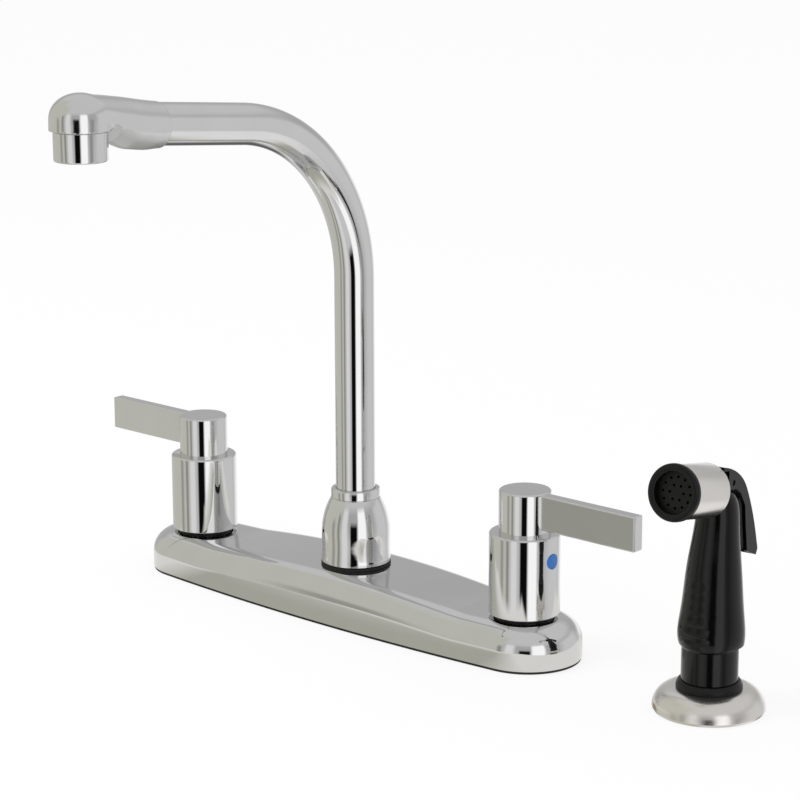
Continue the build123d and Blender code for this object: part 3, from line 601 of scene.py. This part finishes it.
class FAUCET_OT_spout(bpy.types.Operator):
    """Models the gooseneck: the bell nut, the bent tube, the cast head and the aerator"""

    bl_idname = "faucet.spout"
    bl_label = "Gooseneck spout"

    def execute(self, context):
        sizes = context.scene.faucet_sizes
        self.make_bell(sizes)
        self.make_tube(sizes)
        self.make_head()
        self.make_aerator()
        return {"FINISHED"}

    def make_bell(self, sizes):
        """An egg-shaped nut with a slight waist over its foot and a collar round the tube."""
        low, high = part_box("spout_bell")
        base, top = low.z / MM, high.z / MM
        swell = sizes.bell_swell / MM
        swell_height = base + 13.5
        shoulder = top - 4.6
        flank_radius = 35.0
        foot, waist = 16.15, 15.88
        collar, bore = 11.4, 9.3
        flank = [(foot, base + 1.6), (15.98, base + 3.4), (waist, base + 6.4), (waist, base + 8.8)]
        flank.append((swell - 0.03, base + 11.0))
        steps = 10
        for step in range(steps + 1):
            rise = (shoulder - swell_height) * step / steps
            reach = swell - flank_radius + math.sqrt(flank_radius**2 - rise**2)
            flank.append((reach, swell_height + rise))
        side = [(15.65, base), (foot, base + 0.5), *flowing(flank)]
        side += [(11.0, top - 4.3), (collar, top - 4.0), (collar, top - 0.9), (11.1, top - 0.25)]
        side += [(10.5, top), (bore, top), (bore, top - 6)]
        make_piece("chrome_bell_nut", turned(side), "deck_unit", "chrome", ["spout_bell"])

    def make_tube(self, sizes):
        """A thin tube: straight up, round the bend and straight on to the head."""
        low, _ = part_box("spout_tube")
        radius = 9.15 * MM
        wall = 1.0 * MM
        bend_start = 157.7 * MM
        bend_angle = math.radians(84.3)
        end_y = 136.0 * MM
        straight_steps = 6
        inner_share = 1 - wall / radius
        bm = bmesh.new()
        loop = circle(bm, radius, Matrix.Translation((0, 0, low.z)))
        lip(bm, loop, (0, 0, low.z), inner_share)
        for _ in range(straight_steps):
            loop = carry(bm, loop, (0, 0, (bend_start - low.z) / straight_steps))
        bend = bmesh.ops.spin(
            bm,
            geom=loop + list({vert for edge in loop for vert in edge.verts}),
            cent=(0, -sizes.spout_bend, bend_start),
            axis=(1, 0, 0),
            angle=bend_angle,
            steps=72,
        )
        loop = edges_of(bend["geom_last"])
        bend_reach = sizes.spout_bend * (1 - math.cos(bend_angle))
        bend_top = bend_start + sizes.spout_bend * math.sin(bend_angle)
        run = (end_y - bend_reach) / math.sin(bend_angle)
        along = Vector((0, -math.sin(bend_angle), math.cos(bend_angle)))
        for _ in range(straight_steps):
            loop = carry(bm, loop, along * run / straight_steps)
        lip(bm, loop, Vector((0, -bend_reach, bend_top)) + along * run, inner_share)
        bmesh.ops.recalc_face_normals(bm, faces=bm.faces)
        make_piece("chrome_gooseneck", bm, "spout", "chrome", ["spout_tube"])

    def make_head(self):
        """A cast barrel that swells from the tube and turns down over the outlet."""
        low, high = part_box("spout_head")
        dome_radius = 12.8
        axis_y = low.y + dome_radius * MM
        barrel = make_object("head_barrel", self.barrel_mesh())
        dome = make_object("head_dome", self.dome_mesh(dome_radius, high.z / MM, axis_y))
        join = barrel.modifiers.new("dome", "BOOLEAN")
        join.operation = "UNION"
        join.solver = "EXACT"
        join.object = dome
        even = barrel.modifiers.new("even", "REMESH")
        even.mode = "VOXEL"
        even.voxel_size = 0.45 * MM
        evaluated = barrel.evaluated_get(bpy.context.evaluated_depsgraph_get())
        cast = bmesh.new()
        cast.from_mesh(bpy.data.meshes.new_from_object(evaluated))
        self.flow_together(cast, axis_y)
        for helper in (barrel, dome):
            bpy.data.objects.remove(helper)
        sharp = math.radians(50)
        make_piece("chrome_spout_head", cast, "spout", "chrome", ["spout_head"], "cast_chrome", sharp)

    def barrel_mesh(self):
        """The barrel, from its joint with the tube to inside the dome."""
        # how far in front of the spout's axis and how high, then half its width and height
        sections = (
            (119.5, 239.23, 9.95, 9.9),
            (128.0, 240.0, 10.7, 10.6),
            (139.0, 241.9, 11.2, 10.85),
            (148.0, 244.6, 11.7, 9.6),
            (158.0, 248.0, 12.1, 7.7),
        )
        bm = bmesh.new()
        upright = Matrix.Rotation(QUARTER_TURN, 4, "X")
        loops = []
        for y, z, wide, tall in sections:
            oval = Matrix.Diagonal((wide * MM, tall * MM, 1, 1))
            place = Matrix.Translation((0, -y * MM, z * MM)) @ upright @ oval
            loops.append(circle(bm, 1.0, place, HEAD_STEPS))
        bridged(bm, loops)
        bmesh.ops.holes_fill(bm, edges=bm.edges, sides=0)
        bmesh.ops.recalc_face_normals(bm, faces=bm.faces)
        return bm

    def dome_mesh(self, radius, top, axis_y):
        """The round cap over the outlet: a short upright side under a flattened dome."""
        side_top = 246.0
        dome = [(0.0, OUTLET_RIM_HEIGHT), (radius, OUTLET_RIM_HEIGHT), (radius, side_top)]
        dome += quarter_round((0, side_top), radius, top - side_top, 16)
        return turned(dome, centre=(0, axis_y), steps=HEAD_STEPS)

    def flow_together(self, bm, axis_y):
        """Smooths the head as one casting, but keeps its rim at the outlet and its edge at the tube."""
        rim_top = OUTLET_RIM_HEIGHT + 0.7
        behind_dome = 12.9
        tube_edge = 120.3
        passes = 45
        for _ in range(passes):
            free = [v for v in bm.verts if v.co.z > rim_top * MM or v.co.y > axis_y + behind_dome * MM]
            free = [v for v in free if v.co.y < -tube_edge * MM]
            bmesh.ops.smooth_vert(
                bm, verts=free, factor=0.5, use_axis_x=True, use_axis_y=True, use_axis_z=True
            )

    def make_aerator(self):
        """The ring under the head, with a neck that goes up into it."""
        low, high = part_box("aerator_housing")
        centre = ((low.x + high.x) / 2, (low.y + high.y) / 2)
        base = low.z / MM
        rim = OUTLET_RIM_HEIGHT
        outer, mouth = 11.2, 8.6
        neck, bore = 10.0, 9.4
        neck_top = rim + 5.5
        outline = [(mouth, base), (outer, base), (outer, rim - 0.5), (10.9, rim - 0.2), (10.9, rim)]
        outline += [(neck, rim), (neck, neck_top), (bore, neck_top), (bore, base + 1.6), (mouth, base + 1.6)]
        bm = turned(outline, centre, closed=True, rounds=((outer, base, 0.8), (mouth, base, 0.3)))
        make_piece("chrome_aerator", bm, "spout", "chrome", ["aerator_housing"])


class FAUCET_OT_handles(bpy.types.Operator):
    """Models both handles: the cup over the valve, the round hub and the flat lever"""

    bl_idname = "faucet.handles"
    bl_label = "Handles"

    def execute(self, context):
        edge = context.scene.faucet_sizes.handle_edge / MM
        for name, side in SIDES:
            self.make_cup(name, side, edge)
            self.make_lever(name, side)
        return {"FINISHED"}

    def make_cup(self, name, side, edge):
        """The open cup, with the sleeve inside it that grips the valve's stem."""
        node = f"{name}_handle_body"
        low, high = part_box(node)
        base, top = low.z / MM, high.z / MM
        centre = (side * HANDLE_X * MM, 0)
        radius = 15.8
        inner_radius = 13.6
        hole_radius = 6.95
        ceiling = top - 5.9
        sleeve_foot = top - 15.5
        cup = [(hole_radius, top), (radius, top), (radius, base)]
        cup += [(inner_radius, base), (inner_radius, ceiling), (hole_radius, ceiling)]
        bore, outer = 4.05, 7.5
        sleeve = [(bore, ceiling), (outer, ceiling), (outer, sleeve_foot), (bore, sleeve_foot)]
        bm = turned(cup, centre, closed=True, rounds=((radius, top, edge), (radius, base, edge / 2)))
        sleeve_bm = turned(sleeve, centre, closed=True)
        carried = bpy.data.meshes.new("sleeve")
        sleeve_bm.to_mesh(carried)
        sleeve_bm.free()
        bm.from_mesh(carried)
        bpy.data.meshes.remove(carried)
        make_piece(f"chrome_{name}_cup", bm, f"{name}_handle", "chrome", [node], flat=True)

    def make_lever(self, name, side):
        """The hub on the cup, with its spigot, and the flat blade that runs outward from it."""
        node = f"{name}_lever"
        _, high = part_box(node)
        centre = (side * HANDLE_X * MM, 0)
        radius = 11.6
        spigot_radius = 6.9
        top = high.z / MM
        bottom = top - 19.1
        foot = bottom - 2.5
        hub = [(0, foot), (spigot_radius, foot), (spigot_radius, bottom)]
        hub += [(radius, bottom), (radius, top), (0, top)]
        bm = turned(hub, centre, rounds=((radius, top, 0.9),))
        reach = 61.9 * MM
        thickness = 6.0 * MM
        height = 15.6 * MM
        blade_foot = 60.5 * MM
        place = Matrix.Translation((centre[0] + side * reach / 2, 0, blade_foot + height / 2))
        bar = Matrix.Diagonal((reach, thickness, height, 1))
        blade = bmesh.ops.create_cube(bm, size=1.0, matrix=place @ bar)["verts"]
        bmesh.ops.bevel(
            bm,
            geom=list({edge for vert in blade for edge in vert.link_edges}),
            offset=0.7 * MM,
            segments=4,
            profile=0.5,
            affect="EDGES",
            material=-1,
        )
        make_piece(f"chrome_{name}_lever", bm, f"{name}_handle", "chrome", [node], flat=True)


class FAUCET_OT_sprayer(bpy.types.Operator):
    """Models the side sprayer: its grip, metal ring, nozzle, thumb lever and the lever's pin"""

    bl_idname = "faucet.sprayer"
    bl_label = "Side sprayer"

    def execute(self, context):
        turn = Matrix.Rotation(math.radians(SPRAYER_TURN), 4, "Z")
        tilt = Matrix.Rotation(math.radians(90 - SPRAYER_HEAD_TILT), 4, "X")
        place = Matrix.Translation((SPRAYER_X * MM, 0, 0)) @ turn
        head = place @ Matrix.Translation((0, 0, SPRAYER_HEAD_HEIGHT * MM)) @ tilt
        self.make_grip()
        self.make_ring(head)
        self.make_nozzle(head)
        self.make_thumb_lever()
        self.make_pivot_pin(place)
        return {"FINISHED"}

    def make_grip(self):
        """The moulded body with its finger grips, smooth-shaded between its edges."""
        bm = merged_copy("sprayer_body")
        make_piece("black_sprayer_body", bm, "sprayer", "black_gloss", ["sprayer_body"])

    def make_ring(self, head):
        """The metal band round the sprayer's head."""
        inner, outer = 9.95, 11.35
        back, front = 6.7, 31.2
        outline = [(inner, back), (outer, back), (outer, front), (inner, front)]
        bm = turned(outline, closed=True, rounds=((outer, back, 0.35), (outer, front, 0.35)))
        bmesh.ops.transform(bm, matrix=head, verts=bm.verts)
        make_piece("satin_sprayer_ring", bm, "sprayer", "satin", ["sprayer_ring"])

    def make_nozzle(self, head):
        """The black ring in front of the metal band, with a sleeve that goes into it."""
        inner, sleeve, outer = 8.7, 9.9, 11.9
        sleeve_back, back, front = 30.3, 31.2, 33.7
        outline = [(inner, sleeve_back), (sleeve, sleeve_back), (sleeve, back)]
        outline += [(outer, back), (outer, front), (inner, front)]
        rounds = ((outer, front, 1.1), (inner, front, 0.6), (outer, back, 0.3))
        bm = turned(outline, closed=True, rounds=rounds)
        bmesh.ops.transform(bm, matrix=head, verts=bm.verts)
        make_piece("black_sprayer_nozzle", bm, "sprayer", "black_gloss", ["sprayer_nozzle"])

    def make_thumb_lever(self):
        """The curved lever over the sprayer's neck."""
        bm = merged_copy("sprayer_trigger")
        make_piece("black_thumb_lever", bm, "thumb_lever", "black_gloss", ["sprayer_trigger"])

    def make_pivot_pin(self, place):
        """The steel pin, with its ends a little below the sides of the thumb lever."""
        kept_length = 0.88
        low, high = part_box("trigger_pin")
        middle = Matrix.Translation((low + high) / 2) @ place.to_3x3().to_4x4()
        bm = merged_copy("trigger_pin")
        bmesh.ops.scale(bm, vec=(kept_length, 1, 1), space=middle.inverted(), verts=bm.verts)
        make_piece("steel_trigger_pin", bm, "sprayer", "steel", ["trigger_pin"])


class FAUCET_OT_sprayer_holder(bpy.types.Operator):
    """Models the satin flange on the deck and the black cup that the sprayer stands in"""

    bl_idname = "faucet.sprayer_holder"
    bl_label = "Sprayer holder"

    def execute(self, context):
        centre = (SPRAYER_X * MM, 0)
        self.make_flange(centre)
        self.make_cup(centre)
        return {"FINISHED"}

    def make_flange(self, centre):
        """A thin domed washer: a quarter round outside, and another one inside it."""
        outer, inner, hole, crest = 23.8, 22.2, 12.6, 15.5
        top, underside, edge_height = 9.8, 8.2, 1.2
        middle = (crest, edge_height)
        steps = 20
        outline = [(inner, 0), (23.1, 0), (outer, edge_height)]
        outline += quarter_round(middle, outer - crest, top - edge_height, steps)
        outline += [(hole, top), (hole, underside), (crest, underside)]
        outline += quarter_round(middle, inner - crest, underside - edge_height, steps, falling=True)
        bm = turned(outline, centre, closed=True)
        make_piece("satin_flange", bm, "deck_unit", "satin", ["sprayer_flange"])

    def make_cup(self, centre):
        """The cup: a sleeve down through the deck, and a rim that rests on the flange."""
        low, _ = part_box("sprayer_holder")
        foot = low.z / MM
        inner, outer, rim = 10.4, 12.0, 14.0
        seat, shoulder, top = 9.8, 11.2, 13.2
        outline = [(inner, foot), (outer, foot), (outer, seat), (rim, seat), (rim, shoulder)]
        outline += [(12.9, top), (inner, top)]
        rounds = ((rim, shoulder, 0.6), (rim, seat, 0.3), (12.9, top, 0.4))
        bm = turned(outline, centre, closed=True, rounds=rounds)
        make_piece("black_holder_cup", bm, "deck_unit", "black_plastic", ["sprayer_holder"])


# ---- Studio ----
# Direction from the object to the camera, in degrees anticlockwise from X
CAMERA_BEARING = -47.8
OLIVE = (1.0, 1.0, 0.9)
PLAIN = (1.0, 1.0, 1.0)
# Upright cards that only what shines can see: bearing from the camera (plus is to the right),
# half width and softness in degrees, lowest and highest slope as a sine, brightness and colour
CARDS = (
    (-95, 44, 8, -1.0, 0.85, 0.64, OLIVE),
    (-81, 5.5, 4, -1.0, 0.1, 0.4, OLIVE),
    (-60, 4.5, 3, -1.0, 0.3, 0.34, OLIVE),
    (-38, 10, 5, -1.0, 0.5, 0.9, PLAIN),
    (-6.5, 11.5, 3, -0.47, 0.14, 0.004, PLAIN),
    (22, 14, 4, -0.9, 0.5, 1.3, PLAIN),
    (52, 7, 5, -0.9, 0.1, 0.36, PLAIN),
    (120, 40, 12, -0.85, -0.46, 0.95, PLAIN),
    (100, 26, 12, -0.4, 0.4, 0.74, PLAIN),
    (160, 22, 14, -0.38, 0.1, 1.05, PLAIN),
    (168, 26, 8, -0.75, -0.42, 0.14, PLAIN),
)


class FAUCET_OT_stage(bpy.types.Operator):
    """Makes the white floor, the studio's grey walls and cards, a soft lamp and the camera"""

    bl_idname = "faucet.stage"
    bl_label = "Studio and camera"

    def execute(self, context):
        self.make_world(context.scene)
        self.make_floor()
        self.make_lamp(context.scene)
        self.make_camera(context.scene)
        context.scene.view_settings.view_transform = "Standard"
        return {"FINISHED"}

    def make_world(self, scene):
        """Grey walls and cards for what shines, white for the camera, and a plain light for the rest."""
        world = bpy.data.worlds.new("studio")
        world.use_nodes = True
        scene.world = world
        tree = world.node_tree
        tree.nodes.clear()
        way = add_node(tree, "ShaderNodeTexCoord").outputs["Generated"]
        axes = add_node(tree, "ShaderNodeSeparateXYZ", {"Vector": way}).outputs
        slope = axes["Z"]
        turn = add_node(tree, "ShaderNodeMath", {0: axes["Y"], 1: axes["X"]}, operation="ARCTAN2")
        walls = self.wall_shade(tree, slope)
        for bearing, half, soft, low, high, brightness, tint in CARDS:
            across = self.card_width(tree, turn.outputs["Value"], CAMERA_BEARING + bearing, half, soft)
            upright = self.card_height(tree, slope, low, high)
            mask = add_node(tree, "ShaderNodeMath", {0: across, 1: upright}, operation="MULTIPLY")
            colour = (*(brightness * channel for channel in tint), 1.0)
            walls = add_node(
                tree,
                "ShaderNodeMix",
                {"Factor": mask.outputs["Value"], "A": walls, "B": colour},
                data_type="RGBA",
            ).outputs["Result"]
        rays = add_node(tree, "ShaderNodeLightPath").outputs
        direct = add_node(
            tree,
            "ShaderNodeMath",
            {0: rays["Is Camera Ray"], 1: rays["Is Transmission Ray"]},
            operation="MAXIMUM",
        ).outputs["Value"]
        plain = add_node(
            tree, "ShaderNodeMix", {"Factor": direct, "A": grey(0.85), "B": grey(1.0)}, data_type="RGBA"
        ).outputs["Result"]
        colour = add_node(
            tree, "ShaderNodeMix", {"Factor": rays["Is Glossy Ray"], "A": plain, "B": walls}, data_type="RGBA"
        ).outputs["Result"]
        light = add_node(tree, "ShaderNodeBackground", {"Color": colour, "Strength": 1.0})
        add_node(tree, "ShaderNodeOutputWorld", {"Surface": light.outputs["Background"]})

    def wall_shade(self, tree, slope):
        """The grey of the walls by height: lighter low down and high up than at eye level."""
        height = add_node(tree, "ShaderNodeMapRange", {"Value": slope, "From Min": -1.0, "From Max": 1.0})
        shade = add_node(tree, "ShaderNodeValToRGB", {"Fac": height.outputs["Result"]})
        stops = shade.color_ramp.elements
        stops[0].position, stops[0].color = 0.2, grey(0.74)
        stops[1].position, stops[1].color = 0.5, grey(0.52)
        for position, level in ((0.69, 0.5), (0.8, 0.7)):
            stops.new(position).color = grey(level)
        return shade.outputs["Color"]

    def card_width(self, tree, azimuth, middle, half, soft):
        """A mask of the directions that a card takes up, seen from above, in degrees."""
        aside = add_node(tree, "ShaderNodeMath", {0: azimuth, 1: math.radians(middle)}, operation="SUBTRACT")
        wrapped = add_node(
            tree, "ShaderNodeMath", {0: aside.outputs["Value"], 1: math.pi, 2: -math.pi}, operation="WRAP"
        )
        reach = add_node(tree, "ShaderNodeMath", {0: wrapped.outputs["Value"]}, operation="ABSOLUTE")
        return add_node(
            tree,
            "ShaderNodeMapRange",
            {
                "Value": reach.outputs["Value"],
                "From Min": math.radians(half + soft),
                "From Max": math.radians(half - soft),
            },
            interpolation_type="SMOOTHSTEP",
        ).outputs["Result"]

    def card_height(self, tree, slope, low, high):
        """A mask of the slopes between a card's lower and upper edge, which are both soft."""
        low_blur, high_blur = 0.05, 0.08
        low_edge = {"Value": slope, "From Min": low - low_blur, "From Max": low + low_blur}
        high_edge = {"Value": slope, "From Min": high + high_blur, "From Max": high - high_blur}
        above = add_node(tree, "ShaderNodeMapRange", low_edge).outputs["Result"]
        below = add_node(tree, "ShaderNodeMapRange", high_edge).outputs["Result"]
        return add_node(tree, "ShaderNodeMath", {0: above, 1: below}, operation="MULTIPLY").outputs["Value"]

    def make_floor(self):
        """A sheet of white paper that lies a hair under the deck plate."""
        half_width = 4.0
        gap = 0.0003
        bm = bmesh.new()
        place = Matrix.Translation((0.05, 0, -gap))
        bmesh.ops.create_grid(bm, x_segments=1, y_segments=1, size=half_width, matrix=place)
        floor = make_object("floor", bm)
        floor.data.materials.append(self.floor_material())

    def floor_material(self):
        """White paper that the camera sees almost fully lit, with a soft shadow under the object."""
        seen_white = 0.84
        material = bpy.data.materials.new("white paper")
        material.use_nodes = True
        tree = material.node_tree
        tree.nodes.clear()
        place = add_node(tree, "ShaderNodeTexCoord").outputs["Object"]
        fibre = add_node(tree, "ShaderNodeTexNoise", {"Vector": place, "Scale": per_mm(1.5)}).outputs["Fac"]
        bump = add_node(tree, "ShaderNodeBump", {"Height": fibre, "Distance": 0.02 * MM}).outputs["Normal"]
        paper = add_node(tree, "ShaderNodeBsdfDiffuse", {"Color": linear("#fafafa"), "Normal": bump})
        white = add_node(tree, "ShaderNodeEmission", {"Color": linear("#ffffff")})
        rays = add_node(tree, "ShaderNodeLightPath").outputs
        share = add_node(
            tree, "ShaderNodeMath", {0: rays["Is Camera Ray"], 1: seen_white}, operation="MULTIPLY"
        )
        seen = add_node(
            tree,
            "ShaderNodeMixShader",
            {0: share.outputs["Value"], 1: paper.outputs["BSDF"], 2: white.outputs["Emission"]},
        )
        axes = add_node(tree, "ShaderNodeSeparateXYZ", {"Vector": place}).outputs
        near, bright = self.near_plate(tree, axes)
        # painted shade and light: what shines sees the paper glow olive grey where the plate's shade falls,
        # and nearly white beyond that
        painted_shade_and_light = add_node(
            tree,
            "ShaderNodeMix",
            {"Factor": bright, "A": linear("#bbbbb0"), "B": linear("#f4f2ee")},
            data_type="RGBA",
        )
        # the paper glows with this painted shade and light for glossy rays only
        card = add_node(tree, "ShaderNodeEmission", {"Color": painted_shade_and_light.outputs["Result"]})
        clear = add_node(tree, "ShaderNodeBsdfTransparent")
        mirrored = add_node(
            tree, "ShaderNodeMixShader", {0: near, 1: clear.outputs["BSDF"], 2: card.outputs["Emission"]}
        )
        mixed = add_node(
            tree,
            "ShaderNodeMixShader",
            {0: rays["Is Glossy Ray"], 1: seen.outputs["Shader"], 2: mirrored.outputs["Shader"]},
        )
        add_node(tree, "ShaderNodeOutputMaterial", {"Surface": mixed.outputs["Shader"]})
        return material

    def near_plate(self, tree, axes):
        """Masks of the paper close round the plate, and of where it is out of the plate's painted shade.

        What shines sees only this part of the paper: further out it sees the studio's cards.
        A distance counts for more beyond the plate's ends and along its hot half, so that the
        part reaches less far there.
        """
        end_weight, hot_weight = 2.0, 1.8
        past_edge = []
        # half the plate's length and width in metres, and the distances past them below as well
        for axis, half in (("X", 0.128), ("Y", 0.029)):
            reach = add_node(tree, "ShaderNodeMath", {0: axes[axis]}, operation="ABSOLUTE").outputs["Value"]
            past = add_node(tree, "ShaderNodeMath", {0: reach, 1: half}, operation="SUBTRACT")
            past_edge.append(past.outputs["Value"])
        beyond_end, in_front = past_edge
        longer = add_node(tree, "ShaderNodeMath", {0: beyond_end, 1: end_weight}, operation="MULTIPLY")
        stretch = add_node(
            tree,
            "ShaderNodeMapRange",
            {"Value": axes["X"], "From Min": -0.06, "From Max": -0.01, "To Min": hot_weight, "To Max": 1.0},
        ).outputs["Result"]
        deeper = add_node(tree, "ShaderNodeMath", {0: in_front, 1: stretch}, operation="MULTIPLY")
        most = add_node(
            tree,
            "ShaderNodeMath",
            {0: longer.outputs["Value"], 1: deeper.outputs["Value"]},
            operation="MAXIMUM",
        )
        near = add_node(
            tree,
            "ShaderNodeMapRange",
            {"Value": most.outputs["Value"], "From Min": 0.08, "From Max": 0.052},
            interpolation_type="SMOOTHSTEP",
        ).outputs["Result"]
        lit = add_node(
            tree,
            "ShaderNodeMapRange",
            {"Value": in_front, "From Min": 0.012, "From Max": 0.06},
            interpolation_type="SMOOTHSTEP",
        ).outputs["Result"]
        at_end = add_node(
            tree, "ShaderNodeMapRange", {"Value": beyond_end, "From Min": -0.035, "From Max": -0.005}
        ).outputs["Result"]
        bright = add_node(tree, "ShaderNodeMath", {0: lit, 1: at_end}, operation="MAXIMUM").outputs["Value"]
        return near, bright

    def make_lamp(self, scene):
        """A square softbox over the user's left shoulder."""
        lamp = bpy.data.lights.new("softbox", "AREA")
        lamp.shape = "RECTANGLE"
        lamp.size = 0.9
        lamp.size_y = 0.9
        lamp.energy = 9.0
        aim = Vector((0.05, 0, 0.1))
        softbox = bpy.data.objects.new("softbox", lamp)
        softbox.location = (-0.5, -0.9, 1.5)
        softbox.rotation_euler = (aim - softbox.location).to_track_quat("-Z", "Y").to_euler()
        softbox.visible_glossy = False
        scene.collection.objects.link(softbox)

    def make_camera(self, scene):
        """A long lens from the front and right, a little above the faucet."""
        lens = bpy.data.cameras.new("camera")
        lens.sensor_width = 36.0
        lens.lens = 117.48
        lens.clip_end = 20.0
        place = Matrix.Translation((0.79912, -0.85036, 0.38206))
        yaw = math.radians(42.207)
        pitch = math.radians(13.582)
        roll = Matrix.Rotation(math.radians(-0.13), 4, "Z")
        level = math.cos(pitch)
        forward = Vector((-math.sin(yaw) * level, math.cos(yaw) * level, -math.sin(pitch)))
        camera = bpy.data.objects.new("camera", lens)
        camera.matrix_world = place @ forward.to_track_quat("-Z", "Y").to_matrix().to_4x4() @ roll
        scene.collection.objects.link(camera)
        scene.camera = camera


class FAUCET_PT_panel(bpy.types.Panel):
    """Lists the faucet's sizes, colours and building steps"""

    bl_idname = "FAUCET_PT_panel"
    bl_label = "Faucet"
    bl_space_type = "VIEW_3D"
    bl_region_type = "UI"
    bl_category = "Faucet"

    def draw(self, context):
        layout = self.layout
        for group in (context.scene.faucet_sizes, context.scene.faucet_finish):
            box = layout.box()
            for name in group.__annotations__:
                box.prop(group, name)
        for step in STEPS:
            layout.operator(step.bl_idname)


STEPS = (
    FAUCET_OT_inner_parts,
    FAUCET_OT_deck_plate,
    FAUCET_OT_spout,
    FAUCET_OT_handles,
    FAUCET_OT_sprayer,
    FAUCET_OT_sprayer_holder,
    FAUCET_OT_stage,
)
CLASSES = (FaucetSizes, FaucetFinish, *STEPS, FAUCET_PT_panel)


def register():
    for cls in CLASSES:
        bpy.utils.register_class(cls)
    bpy.types.Scene.faucet_sizes = bpy.props.PointerProperty(type=FaucetSizes)
    bpy.types.Scene.faucet_finish = bpy.props.PointerProperty(type=FaucetFinish)


def unregister():
    del bpy.types.Scene.faucet_finish
    del bpy.types.Scene.faucet_sizes
    for cls in reversed(CLASSES):
        bpy.utils.unregister_class(cls)


def main():
    register()
    bpy.ops.faucet.inner_parts()
    bpy.ops.faucet.deck_plate()
    bpy.ops.faucet.spout()
    bpy.ops.faucet.handles()
    bpy.ops.faucet.sprayer()
    bpy.ops.faucet.sprayer_holder()
    bpy.ops.faucet.stage()


if __name__ == "__main__":
    main()
